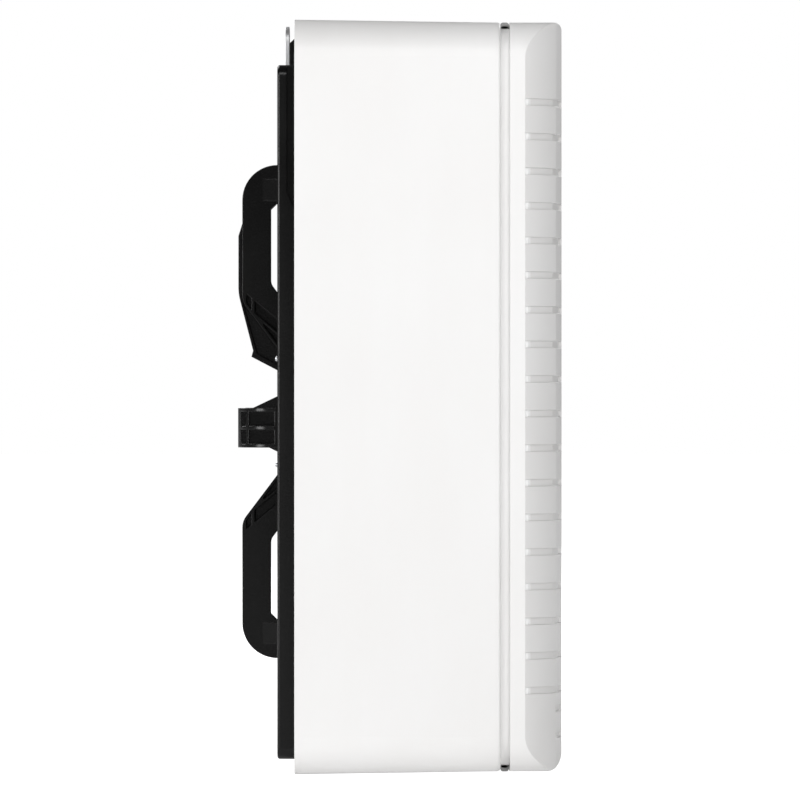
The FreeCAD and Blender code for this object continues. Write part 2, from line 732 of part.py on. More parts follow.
def make_cover():
    outer = cover_form("cover_outer", 0)
    core = cover_form("cover_core", S.cover_wall)
    skin = boolean("Cut", "cover_skin", [outer, core])
    slots = new_body("cover_slots")
    low = cover_low + S.slot_first
    half = front_width / 2 + 1
    crease = front_width / 2 - S.cover_bevel_in
    face = crease - S.cover_crown_run
    inner = face - S.rib_wall
    wide = Drawing(slots, "slot_outline", "XZ", cover_crease)
    wide.box(-inner, low - S.slot_height / 2, inner, low + S.slot_height / 2)
    first = pad(slots, wide, cover_front - cover_crease + 1, "slot")
    sides = Drawing(slots, "groove_outline", "XZ", cover_crease)
    sides.box(-half, low - S.groove_height / 2, -face, low + S.groove_height / 2)
    sides.box(face, low - S.groove_height / 2, half, low + S.groove_height / 2)
    second = pad(slots, sides, cover_front - cover_crease + 1, "groove")
    in_row(slots, [first, second], "Z_Axis", S.slot_pitch * (S.slot_count - 1), S.slot_count, "slot_row")
    low = cover_low + S.low_slot_first
    short = Drawing(slots, "low_slot_outline", "XZ", cover_crease)
    for middle in (low, low + S.low_slot_pitch):
        for left, right in ((-crease, -face), (-inner, inner), (face, crease)):
            short.box(left, middle - S.slot_height / 2, right, middle + S.slot_height / 2)
    pad(slots, short, cover_front - cover_crease + 1, "low_slots")
    slotted = boolean("Cut", "cover_slotted", [skin, slots])
    floor_form = cover_form("slot_floor_form", S.slot_floor)
    floor_skin = boolean("Cut", "slot_floor_skin", [floor_form, core])
    bands = new_body("slot_floor_bands")
    band_plan = Drawing(bands, "slot_band_outline", "XZ", cover_crease - 1)
    half = front_width / 2
    high = cover_low + front_height
    band_plan.box(-half, cover_low, -face, high)
    band_plan.box(face, cover_low, half, high)
    pad(bands, band_plan, cover_front - cover_crease + 2, "slot_bands")
    floors = boolean("MultiCommon", "slot_floors", [floor_skin, bands])
    steps = new_body("slot_steps")
    step_plan = Drawing(steps, "slot_step_outline", "XZ", cover_crease - 1)
    step_face = half - S.slot_step_in
    step_back = step_face - S.slot_floor
    low = cover_low + S.slot_first - S.slot_pitch / 4
    high = low + S.slot_pitch * (S.slot_count - 0.5)
    step_plan.box(-step_face, low, -step_back, high)
    step_plan.box(step_back, low, step_face, high)
    pad(steps, step_plan, S.slot_step + 1, "slot_step_pad")
    bars = new_body("cover_rib_bars")
    plan = Drawing(bars, "rib_plan", "XY", S.casing_lift)
    rib_rear = cover_rear + S.rib_setback
    for step in (-4, -3, -2, -1, 0, 1, 2, 3, 4):
        x = S.rib_pitch * step
        plan.box(x - S.rib_wall / 2, -cover_front, x + S.rib_wall / 2, -rib_rear)
    pad(bars, plan, front_height, "rib_pad", both_ways=True)
    ribs = boolean("MultiCommon", "cover_ribs", [bars, core])
    peg_root = cover_front_crease - 1
    peg_tip = front_wall_inside - 1
    pegs = []
    for number, (x, z) in enumerate(peg_places, start=1):
        pegs.append(cylinder(f"cover_peg_{number}", S.peg_radius, peg_root - peg_tip, x, peg_tip, z))
    finish(boolean("MultiFuse", "front_cover", [slotted, ribs, floors, steps] + pegs), "front_cover")


def make_seals():
    """Two soft strips that close the groove along the top and the bottom."""
    half = front_width / 2 - S.casing_corner
    high = front_height / 2 + S.seal_proud
    low = front_height / 2 - rim_inset
    end = cover_rear - S.fit_gap
    top = block("seal_top", -half, half, casing_front, end, S.casing_lift + low, S.casing_lift + high)
    under = block("seal_under", -half, half, casing_front, end, S.casing_lift - high, S.casing_lift - low)
    finish(group("cover_seals", [top, under]), "cover_seals")


def make_sockets():
    """Rubber sockets in the front wall that grip the cover's pegs."""
    sockets = []
    for number, (x, z) in enumerate(peg_places, start=1):
        lip = S.socket_radius + S.socket_lip
        neck = S.socket_radius - 0.05
        stem = cylinder(f"socket_stem_{number}", neck, 10, x, front_wall_inside - 5, z)
        inner = cylinder(f"socket_inner_{number}", lip, 3, x, front_wall_inside - 3, z)
        outer = cylinder(f"socket_outer_{number}", lip, 2, x, casing_front, z)
        bore = cylinder(f"socket_bore_{number}", S.peg_radius + 0.2, 14, x, front_wall_inside - 6, z)
        solid = boolean("MultiFuse", f"socket_solid_{number}", [stem, inner, outer])
        sockets.append(boolean("Cut", f"socket_{number}", [solid, bore]))
    finish(group("peg_sockets", sockets), "peg_sockets")


def make_rear_panel():
    body = new_body("rear_panel")
    inset = S.casing_wall + S.fit_gap
    flange = Drawing(body, "flange_outline", "XZ", S.plateau_rise)
    flange.middle_box(
        S.casing_width - 2 * inset,
        S.casing_height - 2 * inset,
        S.casing_corner - inset,
        0,
        S.casing_lift,
    )
    pad(body, flange, S.panel_wall, "flange")
    plateau = Drawing(body, "plateau_outline", "XZ", 0)
    plateau.middle_box(2 * plateau_half_x, 2 * plateau_half, S.plateau_corner)
    pad(body, plateau, flange_front, "plateau")
    rounded(
        body,
        1.2,
        lambda edge: edge.BoundBox.YMin > -0.01,
        "plateau_edge_round",
    )
    hollow = Drawing(body, "hollow_outline", "XZ", flange_front)
    hollow.middle_box(
        2 * (plateau_half_x - S.plateau_edge),
        2 * (plateau_half - S.plateau_edge),
        S.plateau_corner,
    )
    pocket(body, hollow, flange_front - S.panel_wall, "panel_hollow")
    ribs = Drawing(body, "panel_rib_outline", "XZ", S.panel_wall - 0.5)
    far_x = plateau_half_x - S.plateau_edge / 2
    far_z = plateau_half - S.plateau_edge / 2
    for side in (-1, 1):
        across = sorted((duct_radius * side, far_x * side), key=lambda size: size.value)
        upright = sorted((duct_radius * side, far_z * side), key=lambda size: size.value)
        for middle in (-40, 40):
            low = middle - S.panel_rib_wall / 2
            high = middle + S.panel_rib_wall / 2
            ribs.box(across[0], low, across[1], high)
            ribs.box(low, upright[0], high, upright[1])
    pad(body, ribs, flange_front - S.panel_wall, "panel_ribs")
    pillars = Drawing(body, "pillar_circles", "XZ", S.panel_wall - 0.5)
    for x, z in boss_places:
        pillars.circle(S.pillar_radius, x, z)
    pad(body, pillars, flange_front - S.panel_wall + 0.5, "screw_pillars")
    anchors = Drawing(body, "anchor_outline", "XZ", S.panel_wall - 0.5)
    for side in (-1, 1):
        middle = lug_half * side
        low = plateau_half - S.tab_insert - 5
        anchors.box(middle - S.lug_width / 2, low, middle + S.lug_width / 2, plateau_half - 1)
    pad(body, anchors, flange_front - S.panel_wall + 0.5, "tab_anchors")
    seat = Drawing(body, "seat_ring_circle", "XZ", S.panel_wall - 0.5)
    seat.circle(seat_ring_radius)
    pad(body, seat, S.seat_ring_depth - S.panel_wall + 0.5, "seat_ring")
    duct = Drawing(body, "duct_circle", "XZ", S.panel_wall)
    duct.circle(duct_radius + S.duct_wall)
    pad(body, duct, S.duct_depth - S.panel_wall, "duct_wall")
    bore = Drawing(body, "duct_bore_circle", "XZ", 0)
    bore.circle(duct_radius)
    pocket(body, bore, S.duct_depth + 1, "duct_bore", ahead=True)
    recess = Drawing(body, "seat_circle", "XZ", 0)
    recess.circle(S.seat_radius)
    pocket(body, recess, S.seat_depth, "spider_seat", ahead=True)
    lug_rear = S.tab_depth + S.tab_wall + 0.1
    lugs = Drawing(body, "lug_outline", "YZ", lug_half)
    top = plateau_half + S.lug_height
    lugs.outline(
        [
            (-flange_front, plateau_half - 1),
            (-lug_rear, plateau_half - 1),
            (-lug_rear, top - S.lug_slope),
            (-S.plateau_rise, top),
            (-flange_front, top),
        ]
    )
    lug = pad(body, lugs, S.lug_width, "lug", both_ways=True)
    mirrored(body, [lug], "YZ", "lug_pair")
    slot = Drawing(body, "tab_slot_outline", "YZ", lug_half)
    slot.box(-lug_rear, plateau_half - S.tab_insert, -S.tab_depth + 0.1, plateau_half + 3)
    cut = pocket(body, slot, S.tab_width + 0.4, "tab_slot", both_ways=True)
    mirrored(body, [cut], "YZ", "tab_slot_pair")
    rebate = Drawing(body, "rebate_outline", "YZ", plateau_half_x - S.rebate_depth)
    low = plateau_half - S.rebate_run
    rebate.outline(
        [
            (-S.plateau_rise, low - S.rebate_slope),
            (-S.rebate_rise, low),
            (-S.rebate_rise, plateau_half + 2),
            (-S.plateau_rise, plateau_half + 2),
        ]
    )
    cut = pocket(body, rebate, S.rebate_depth + 1, "side_rebate", ahead=True)
    mirrored(body, [cut], "YZ", "side_rebate_pair")
    holes = Drawing(body, "window_circles", "XZ", 0)
    for x, z in window_places:
        holes.circle(S.window_hole_radius, x, z)
    pocket(body, holes, flange_front, "window_holes", ahead=True)
    holes = Drawing(body, "case_screw_circles", "XZ", 0)
    for x, z in boss_places:
        holes.circle(S.case_screw_radius + S.fit_gap, x, z)
    pocket(body, holes, flange_front + 1, "case_screw_holes", ahead=True)
    sinks = Drawing(body, "case_screw_sinks", "XZ", 0)
    for x, z in boss_places:
        sinks.circle(S.case_screw_head_radius + S.fit_gap, x, z)
    pocket(body, sinks, S.case_screw_head + 0.6, "case_screw_recesses", ahead=True)
    entry = Drawing(body, "cable_entry_circle", "XZ", 0)
    entry.circle(S.gland_radius, -block_x, gland_z)
    pocket(body, entry, flange_front, "cable_entry", ahead=True)
    tabs = Drawing(body, "tab_screw_circles", "XZ", S.tab_depth)
    for side in (-1, 1):
        tabs.circle(S.screw_radius + S.run_gap, lug_half * side, tab_screw_height)
    pocket(body, tabs, flange_front, "tab_screw_holes", ahead=True)
    ring = Drawing(body, "spider_screw_circles", "XZ", S.seat_depth)
    for x, z in spider_screw_places():
        ring.circle(S.screw_radius + S.press_gap, x, z)
    pocket(body, ring, S.spider_screw_length, "spider_screw_holes", ahead=True)
    finish(body, "rear_panel")


def spider_screw_places():
    ring = S.seat_radius - S.spider_ring_wall / 2
    half = ring * math.sqrt(0.5)
    return four_corners(half, half)


def outer_dive(y):
    """Distance from the axis of an arm's outside where it dives to the hub."""
    drop = S.arm_rise + S.hub_depth
    return S.arm_bend_outer - S.arm_skew * (S.arm_rise - y) / drop


def inner_dive(y):
    """Distance from the axis of an arm's inside where it dives to the hub."""
    drop = S.arm_rise + S.hub_depth
    inside = S.arm_rise - S.arm_depth
    return S.arm_bend_inner - S.arm_skew * (inside - y) / drop


def make_arm(body, name, level):
    """One arm with its foot and pockets, upright along +Z or level along -X.

    A profile corner is a height over the window face and a distance from the axis.
    An end corner is a distance across the arm and a height over the window face.
    """
    middle = -S.arm_drop if level else formula(0)
    profile_plane = "XY" if level else "YZ"
    end_plane = "YZ" if level else "XY"
    inside = S.arm_rise - S.arm_depth
    foot = S.seat_depth - 0.5
    root = hub_front - 0.5
    half = S.arm_width / 2
    leg = arm_reach - S.arm_leg

    def profile(corners):
        if not level:
            return corners
        return [(-formula(corner[1]), corner[0], *corner[2:]) for corner in corners]

    def end(corners):
        if not level:
            return corners
        return [(corner[1], corner[0]) for corner in reversed(corners)]

    def end_place(distance):
        return -formula(distance) if level else formula(distance)

    arm = Drawing(body, name + "_outline", profile_plane, middle)
    arm.outline(
        profile(
            [
                (-foot, leg),
                (-foot, arm_reach),
                (S.arm_rise, arm_reach, S.arm_round),
                (S.arm_rise, S.arm_bend_outer, 9),
                (-root, outer_dive(-root)),
                (-root, inner_dive(-root)),
                (inside, S.arm_bend_inner, 5),
                (inside, leg - 4),
                (inside - 4, leg),
            ]
        )
    )
    features = [pad(body, arm, S.arm_width, name, both_ways=True)]
    low_flare = S.level_foot_low if level else S.arm_foot
    high_flare = S.level_foot_high if level else S.arm_foot
    low_start = S.arm_rise * (0.29 if level else 0.65)
    high_start = S.arm_rise * (0.7 if level else 0.65)
    flare = Drawing(body, name + "_foot_outline", end_plane, end_place(leg))
    flare.outline(
        end(
            [
                (middle - half - low_flare, -foot),
                (middle + half + high_flare, -foot),
                (middle + half + high_flare, 0.8),
                (middle + half - 0.5, high_start),
                (middle - half + 0.5, low_start),
                (middle - half - low_flare, 0.8),
            ]
        )
    )
    features.append(pad(body, flare, S.arm_leg * 0.6, name + "_foot", back=level))
    holes = Drawing(body, name + "_pocket_outline", end_plane, end_place(arm_reach + 1))
    web = S.arm_rise * 0.757
    for side in (-1, 1):
        edges = (middle + S.arm_rib / 2 * side, middle + (half - S.arm_rib) * side)
        left, right = sorted(edges, key=lambda size: size.value)
        for low, high in ((2, web - S.arm_rib / 3), (web + S.arm_rib / 3, S.arm_rise - S.arm_rib)):
            holes.outline(end([(left, low), (right, low), (right, high), (left, high)]))
    features.append(pocket(body, holes, S.arm_pocket, name + "_pockets", ahead=level))
    cut_depth = (S.arm_width - S.arm_rib) / 2
    for side in (-1, 1):
        place = middle + half * side
        coves = Drawing(body, f"{name}_side_outline_{side + 2}", profile_plane, place)
        for corners in dive_pockets():
            coves.outline(profile(corners))
        features.append(pocket(body, coves, cut_depth, f"{name}_side_pocket_{side + 2}", ahead=side < 0))
    return features


def dive_pockets():
    """Pockets between the ribs where an arm dives to the hub, as profile corners."""
    gap = S.arm_rib / 2

    def near_rib(y):
        return S.dive_rib_near + S.dive_rib_slope * y

    def far_rib(y):
        return S.dive_rib_far + S.dive_rib_slope * y

    low = formula(-3)
    tip = S.arm_rise * 0.47
    cross = S.arm_rise * 0.73
    high = S.arm_rise - 2
    return [
        [
            (low, near_rib(low) - gap),
            (low, outer_dive(low) + S.arm_edge),
            (tip, outer_dive(tip) + S.arm_edge),
            (tip, near_rib(tip) - gap),
        ],
        [
            (low, far_rib(low) - gap),
            (low, near_rib(low) + gap),
            (cross - gap, near_rib(cross - gap) + gap),
            (cross - gap, far_rib(cross - gap) - gap),
        ],
        [
            (cross + gap, far_rib(cross + gap) - gap),
            (cross + gap, outer_dive(cross + gap) + S.arm_edge),
            (high, outer_dive(high) + S.arm_edge),
            (high, far_rib(high) - gap),
        ],
    ]


def make_spider():
    body = new_body("motor_spider")
    ring = Drawing(body, "spider_ring_circles", "XZ", S.spider_sink)
    outer = S.seat_radius - S.fit_gap
    ring.circle(outer)
    ring.circle(outer - S.spider_ring_wall)
    pad(body, ring, S.seat_depth - S.spider_sink, "spider_ring")
    disc = Drawing(body, "hub_circle", "XZ", S.hub_depth)
    disc.circle(S.hub_radius)
    pad(body, disc, S.hub_wall, "hub_disc")
    upright = make_arm(body, "upright_arm", False)
    around(body, upright, 2, "upright_arms")
    level = make_arm(body, "level_arm", True)
    mirrored(body, level, "YZ", "level_arms")
    bore = Drawing(body, "hub_bore_circle", "XZ", S.hub_depth)
    bore.circle(S.hub_bore)
    pocket(body, bore, S.hub_wall + 1, "hub_bore", ahead=True)
    bolts = Drawing(body, "hub_bolt_circles", "XZ", S.hub_depth)
    for x, z in motor_bolt_places():
        bolts.circle(S.motor_bolt_radius + S.run_gap, x, z)
    pocket(body, bolts, S.hub_wall + 1, "hub_bolt_holes", ahead=True)
    screws = Drawing(body, "ring_screw_circles", "XZ", 0)
    for x, z in spider_screw_places():
        screws.circle(S.screw_radius + S.run_gap, x, z)
    pocket(body, screws, S.seat_depth + 1, "ring_screw_holes", ahead=True)
    sinks = Drawing(body, "ring_screw_sinks", "XZ", 0)
    for x, z in spider_screw_places():
        sinks.circle(S.screw_head_radius + S.run_gap, x, z)
    pocket(body, sinks, S.spider_sink + S.screw_head, "ring_screw_recesses", ahead=True)
    finish(body, "motor_spider")


def motor_bolt_places():
    half = S.motor_bolt_ring * math.sqrt(0.5)
    return four_corners(half, half)


def make_lead_cover():
    """The snapped-on lid over the motor lead, along the top arm."""
    body = new_body("lead_cover")
    drawing = Drawing(body, "lid_outline", "YZ", 0)
    outside = S.arm_rise + S.lid_wall
    drawing.outline(
        [
            (S.arm_rise, lid_start),
            (outside, lid_start - 6),
            (outside, S.arm_bend_outer + 4, 26),
            (S.arm_rise - 5.2, S.lid_nose + 7.5),
            (S.arm_rise - 4.4, S.lid_nose + 4.5),
            (-S.hub_depth, S.lid_nose - 7),
            (-S.hub_depth, S.lid_nose - 4.7),
            (S.arm_rise - 7.2, S.lid_nose + 6),
            (S.arm_rise, S.arm_bend_outer + 0.5, 24),
        ]
    )
    pad(body, drawing, S.arm_width - 1, "lid", both_ways=True)
    inner = (S.arm_width - 1) / 2 - S.cheek_setback - S.cheek_wall
    cheek = Drawing(body, "lid_cheek_outline", "YZ", inner)
    low = 2 - S.hub_depth
    high = S.arm_rise - 2.9
    cheek.outline(
        [
            (high, outer_dive(high)),
            (low, outer_dive(low)),
            (0.2 - S.hub_depth, S.lid_nose - 5.8),
            (S.arm_rise - 6.4, S.lid_nose + 5),
            (S.arm_rise - 5.9, S.lid_nose + 8),
            (S.arm_rise - 0.2, S.arm_bend_outer - 2),
        ]
    )
    plate = pad(body, cheek, S.cheek_wall, "lid_cheek")
    mirrored(body, [plate], "YZ", "lid_cheeks")
    finish(body, "lead_cover")


def make_ring(name, outer, inner, near, far):
    """A plain ring about the fan axis between two depths."""
    body = new_body(name)
    drawing = Drawing(body, name + "_circles", "XZ", near)
    drawing.circle(outer)
    drawing.circle(inner)
    pad(body, drawing, formula(far) - near, name + "_pad")
    return body


def turned_outline(body, name, corners, arcs=None):
    """Revolve an outline given as (depth, radius) corners."""
    drawing = Drawing(body, name + "_profile", "YZ", 0)
    drawing.outline([(-formula(c[0]), *c[1:]) for c in corners], arcs)
    return turned(body, drawing, name + "_turned")


def make_motor():
    floor = hub_front + S.motor_wall
    housing = S.bearing_radius + S.motor_wall
    passage = S.shaft_radius + 1
    skirt = S.motor_radius - S.motor_wall
    rear = new_body("motor_rear_cap")
    turned_outline(
        rear,
        "motor_rear_cap",
        [
            (hub_front, passage),
            (hub_front, S.motor_radius, 1),
            (stack_rear, S.motor_radius),
            (stack_rear, skirt),
            (floor, skirt),
            (floor, housing),
            (floor + S.bearing_depth, housing),
            (floor + S.bearing_depth, S.bearing_radius),
            (floor, S.bearing_radius),
            (floor, passage),
        ],
    )
    front = new_body("motor_front_cap")
    ceiling = motor_front - S.motor_wall
    turned_outline(
        front,
        "motor_front_cap",
        [
            (motor_front, passage),
            (ceiling, passage),
            (ceiling, S.bearing_radius),
            (ceiling - S.bearing_depth, S.bearing_radius),
            (ceiling - S.bearing_depth, housing),
            (ceiling, housing),
            (ceiling, skirt),
            (stack_front, skirt),
            (stack_front, S.motor_radius),
            (motor_front, S.motor_radius, 2.5),
        ],
    )
    core = make_ring("stator_core", S.motor_radius, S.stator_bore, stack_rear, stack_front)
    slots = Drawing(core, "stator_slot_outline", "XZ", stack_rear)
    slots.box(-1.2, S.stator_bore - 1, 1.2, S.stator_bore + 2)
    slots.box(-2.6, S.stator_bore + 2.0, 2.6, S.motor_radius - 9)
    slot = pocket(core, slots, S.stack_depth, "stator_slot", ahead=True)
    around(core, [slot], S.stator_slots, "stator_slots")
    for body, near, depth, name in (
        (rear, hub_front, S.motor_wall, "rear_cap"),
        (front, ceiling, S.motor_wall, "front_cap"),
        (core, stack_rear, S.stack_depth, "core"),
    ):
        holes = Drawing(body, name + "_bolt_circles", "XZ", near)
        for x, z in motor_bolt_places():
            holes.circle(S.motor_bolt_radius + S.run_gap, x, z)
        pocket(body, holes, depth, name + "_bolt_holes", ahead=True)
    vents = Drawing(front, "front_vent_circles", "XZ", ceiling)
    vents.circle(3.4, 0, S.bearing_radius + 12)
    vent = pocket(front, vents, S.motor_wall, "front_vent", ahead=True)
    around(front, [vent], 8, "front_vents")
    finish(rear, "motor_rear_cap")
    finish(core, "stator_core")
    finish(front, "motor_front_cap")
    turn_in = S.stator_bore + 2.5
    turn_out = S.motor_radius - 9
    coil = make_ring("stator_winding", turn_out, turn_in, stack_rear - 5.5, stack_rear)
    far = Drawing(coil, "front_turn_circles", "XZ", stack_front)
    far.circle(turn_out)
    far.circle(turn_in)
    pad(coil, far, 5, "front_turns")
    finish(coil, "stator_winding")
    bore = S.shaft_radius + S.run_gap / 2
    outer = S.bearing_radius - S.press_gap
    finish(make_ring("rear_bearing", outer, bore, floor, floor + S.bearing_depth), "rear_bearing")
    finish(make_ring("front_bearing", outer, bore, ceiling - S.bearing_depth, ceiling), "front_bearing")
    bolts = []
    for number, (x, z) in enumerate(motor_bolt_places(), start=1):
        length = motor_front - S.hub_depth + S.motor_bolt_end
        bolts.append(
            screw(f"motor_bolt_{number}", S.motor_bolt_radius, length, 3.2, 2, x, motor_front, z, False)
        )
    finish(group("motor_bolts", bolts), "motor_bolts")
    nuts = []
    for number, (x, z) in enumerate(motor_bolt_places(), start=1):
        prism = hexagon(f"motor_nut_prism_{number}", S.motor_nut_radius, S.motor_nut_height, x, S.hub_depth, z)
        thread = S.motor_bolt_radius + S.press_gap
        bore = cylinder(f"motor_nut_bore_{number}", thread, 8, x, S.hub_depth + 2, z, False)
        nuts.append(boolean("Cut", f"motor_nut_{number}", [prism, bore]))
    finish(group("motor_nuts", nuts), "motor_nuts")


def make_rotor():
    shaft = new_body("shaft")
    near = hub_front + 1
    end = nut_front - 1.2
    turned_outline(
        shaft,
        "shaft",
        [
            (near, 0),
            (near, S.shaft_radius - 0.5),
            (near + 0.5, S.shaft_radius),
            (end - 0.5, S.shaft_radius),
            (end, S.shaft_radius - 0.5),
            (end, 0),
        ],
    )
    pin_depth = S.cup_front - S.cup_wall - S.drive_pin_radius - 0.4
    hole = Drawing(shaft, "pin_hole_circle", "YZ", 0)
    hole.circle(S.drive_pin_radius + S.press_gap, -pin_depth, 0)
    pocket(shaft, hole, S.shaft_radius * 4, "pin_hole", both_ways=True)
    finish(shaft, "shaft")
    pin = new_body("drive_pin")
    round_pin = Drawing(pin, "drive_pin_circle", "YZ", 0)
    round_pin.circle(S.drive_pin_radius, -pin_depth, 0)
    pad(pin, round_pin, S.drive_pin_length, "drive_pin_pad", both_ways=True)
    finish(pin, "drive_pin")
    outer = S.stator_bore - S.air_gap
    inner = S.shaft_radius + S.press_gap
    finish(make_ring("rotor_core", outer, inner, stack_rear + 1, stack_front - 1), "rotor_core")
    make_impeller(pin_depth)
    nut = new_body("spinner_nut")
    hollow = S.shaft_radius + S.press_gap
    turned_outline(
        nut,
        "spinner_nut",
        [
            (S.cup_front, hollow),
            (nut_front - 1, hollow),
            (nut_front - 1, 0),
            (nut_front, 0),
            (nut_front, S.nut_radius * 0.8, 2.5),
            (S.cup_front + 1.5, S.nut_radius),
            (S.cup_front, S.nut_radius),
        ],
    )
    grips = Drawing(nut, "nut_grip_circle", "XZ", S.cup_front)
    grips.circle(2, 0, S.nut_radius + 0.6)
    grip = pocket(nut, grips, S.nut_height, "nut_grip", ahead=True)
    around(nut, [grip], 8, "nut_grips")
    finish(nut, "spinner_nut")


def make_impeller(pin_depth):
    body = new_body("impeller")
    cup = Drawing(body, "cup_circle", "XZ", S.cup_rear)
    cup.circle(S.cup_radius)
    pad(body, cup, S.cup_front - S.cup_rear, "cup")
    front_y = -S.cup_front.value
    rounded(body, 3, lambda edge: edge.BoundBox.YMax < front_y + 0.01, "cup_front_round")
    sections = []
    reach = impeller_radius + 6
    for name, height, chord, angle, curve in (
        ("root", S.cup_radius - 7, S.blade_root_chord, S.blade_root_angle, S.blade_root_curve),
        (
            "middle",
            (S.cup_radius - 7 + reach) / 2,
            (S.blade_root_chord + S.blade_tip_chord) / 2,
            (S.blade_root_angle * 0.4 + S.blade_tip_angle * 0.6),
            (S.blade_root_curve + S.blade_tip_curve) / 2,
        ),
        ("tip", reach, S.blade_tip_chord, S.blade_tip_angle, S.blade_tip_curve),
    ):
        across = cosine(angle) * chord / 2
        along = sine(angle) * chord / 2
        skew_x = sine(angle) * S.blade_wall
        skew_y = cosine(angle) * S.blade_wall
        section = Drawing(body, f"blade_{name}_outline", "XY", height)
        section.outline(
            [
                (-across, -S.blade_middle - along),
                (across, -S.blade_middle + along),
                (across - skew_x, -S.blade_middle + along + skew_y),
                (-across - skew_x, -S.blade_middle - along + skew_y),
            ],
            arcs={0: curve, 2: -curve},
        )
        sections.append(section.sketch)
    blade = body.newObject("PartDesign::AdditiveLoft", "blade")
    blade.Profile = sections[0]
    blade.Sections = sections[1:]
    settle(body, blade)
    around(body, [blade], S.blade_count, "blades")
    hollow = Drawing(body, "cup_hollow_circle", "XZ", S.cup_rear - 10)
    hollow.circle(S.cup_radius - S.cup_wall)
    pocket(body, hollow, S.cup_front - S.cup_wall - S.cup_rear + 10, "cup_hollow", ahead=True)
    boss_rear = motor_front + 1.2
    boss = Drawing(body, "cup_boss_circle", "XZ", boss_rear)
    boss.circle(S.drive_pin_length / 2 + 1.5)
    pad(body, boss, S.cup_front - 1 - boss_rear, "cup_boss")
    ribs = Drawing(body, "cup_rib_outline", "XZ", boss_rear + 1)
    ribs.box(-0.9, S.drive_pin_length / 2, 0.9, S.cup_radius - 1)
    rib = pad(body, ribs, S.cup_front - 1.5 - boss_rear, "cup_rib")
    around(body, [rib], S.blade_count, "cup_ribs")
    slot = Drawing(body, "pin_slot_outline", "YZ", 0)
    wide = S.drive_pin_radius + S.press_gap
    slot.box(-pin_depth - wide, -wide, -boss_rear + 1, wide)
    pocket(body, slot, S.drive_pin_length + 0.4, "pin_slot", both_ways=True)
    bore = Drawing(body, "cup_bore_circle", "XZ", S.cup_rear)
    bore.circle(S.shaft_radius + S.press_gap)
    pocket(body, bore, S.cup_front - S.cup_rear + 1, "cup_bore", ahead=True)
    trim = Drawing(body, "tip_trim_circles", "XZ", 0)
    trim.circle(impeller_radius)
    trim.circle(impeller_radius + 40)
    pocket(body, trim, S.cup_front + 20, "tip_trim", ahead=True)
    finish(body, "impeller")


def make_inlet_cone():
    body = new_body("inlet_cone")
    collar = duct_radius + S.duct_wall + S.fit_gap
    end = S.duct_depth + S.cone_depth
    mouth = duct_radius + S.cone_flare
    turned_outline(
        body,
        "inlet_cone",
        [
            (S.duct_depth, duct_radius),
            (S.duct_depth, collar),
            (S.duct_depth - 8, collar),
            (S.duct_depth - 8, collar + S.cone_wall),
            (S.duct_depth + 2, collar + S.cone_wall),
            (end, mouth + S.cone_wall),
            (end, mouth),
        ],
        arcs={6: 16},
    )
    finish(body, "inlet_cone")


def flap_height(number):
    """Height of a flap's rod, counted from the top."""
    return flap_half_height - S.flap_lead - S.flap_pitch * number


def make_shutter():
    frame = new_body("shutter_frame")
    plate = Drawing(frame, "shutter_frame_outline", "XZ", shutter_face)
    plate.middle_box(2 * cheek_half + 26, 2 * flap_half_height + 12, 5)
    plate.middle_box(2 * shutter_half, 2 * flap_half_height, 3)
    pad(frame, plate, S.shutter_wall, "shutter_plate")
    cheeks = Drawing(frame, "cheek_outline", "XZ", shutter_face + 0.5)
    for side in (-1, 1):
        edges = (cheek_half * side, (cheek_half + S.shutter_wall) * side)
        left, right = sorted(edges, key=lambda size: size.value)
        cheeks.box(left, -flap_half_height - 3, right, flap_half_height + 3)
    pad(frame, cheeks, S.cheek_depth + 0.5, "cheeks", back=True)
    holes = Drawing(frame, "rod_hole_circles", "YZ", 0)
    for number in range(int(S.flap_count.value)):
        holes.circle(S.flap_rod_radius + S.run_gap, -flap_axis, flap_height(number))
    pocket(frame, holes, 2 * (cheek_half + S.shutter_wall + 1), "rod_holes", both_ways=True)
    corners = Drawing(frame, "shutter_screw_clearance", "XZ", shutter_face)
    for x, z in shutter_screw_places:
        corners.circle(S.screw_radius + S.run_gap, x, z)
    pocket(frame, corners, S.shutter_wall + 1, "shutter_screw_clear", ahead=True)
    finish(frame, "shutter_frame")
    for number in range(int(S.flap_count.value)):
        make_flap(number)
    bar = new_body("tie_bar")
    pin_depth = flap_axis - S.crank_length
    side = Drawing(bar, "tie_bar_outline", "YZ", -tie_middle)
    low = flap_height(int(S.flap_count.value) - 1) - S.tie_width / 2
    high = flap_height(0) + S.tie_width / 2
    half = S.tie_width / 2
    side.box(-pin_depth - half, low, -pin_depth + half, high, half - 0.2)
    pad(bar, side, S.tie_wall, "tie_bar_pad", both_ways=True)
    pins = Drawing(bar, "tie_pin_circles", "YZ", -tie_middle)
    for number in range(int(S.flap_count.value)):
        pins.circle(S.tie_pin_radius + S.run_gap, -pin_depth, flap_height(number))
    pocket(bar, pins, 2 * S.tie_wall, "tie_pin_holes", both_ways=True)
    finish(bar, "tie_bar")


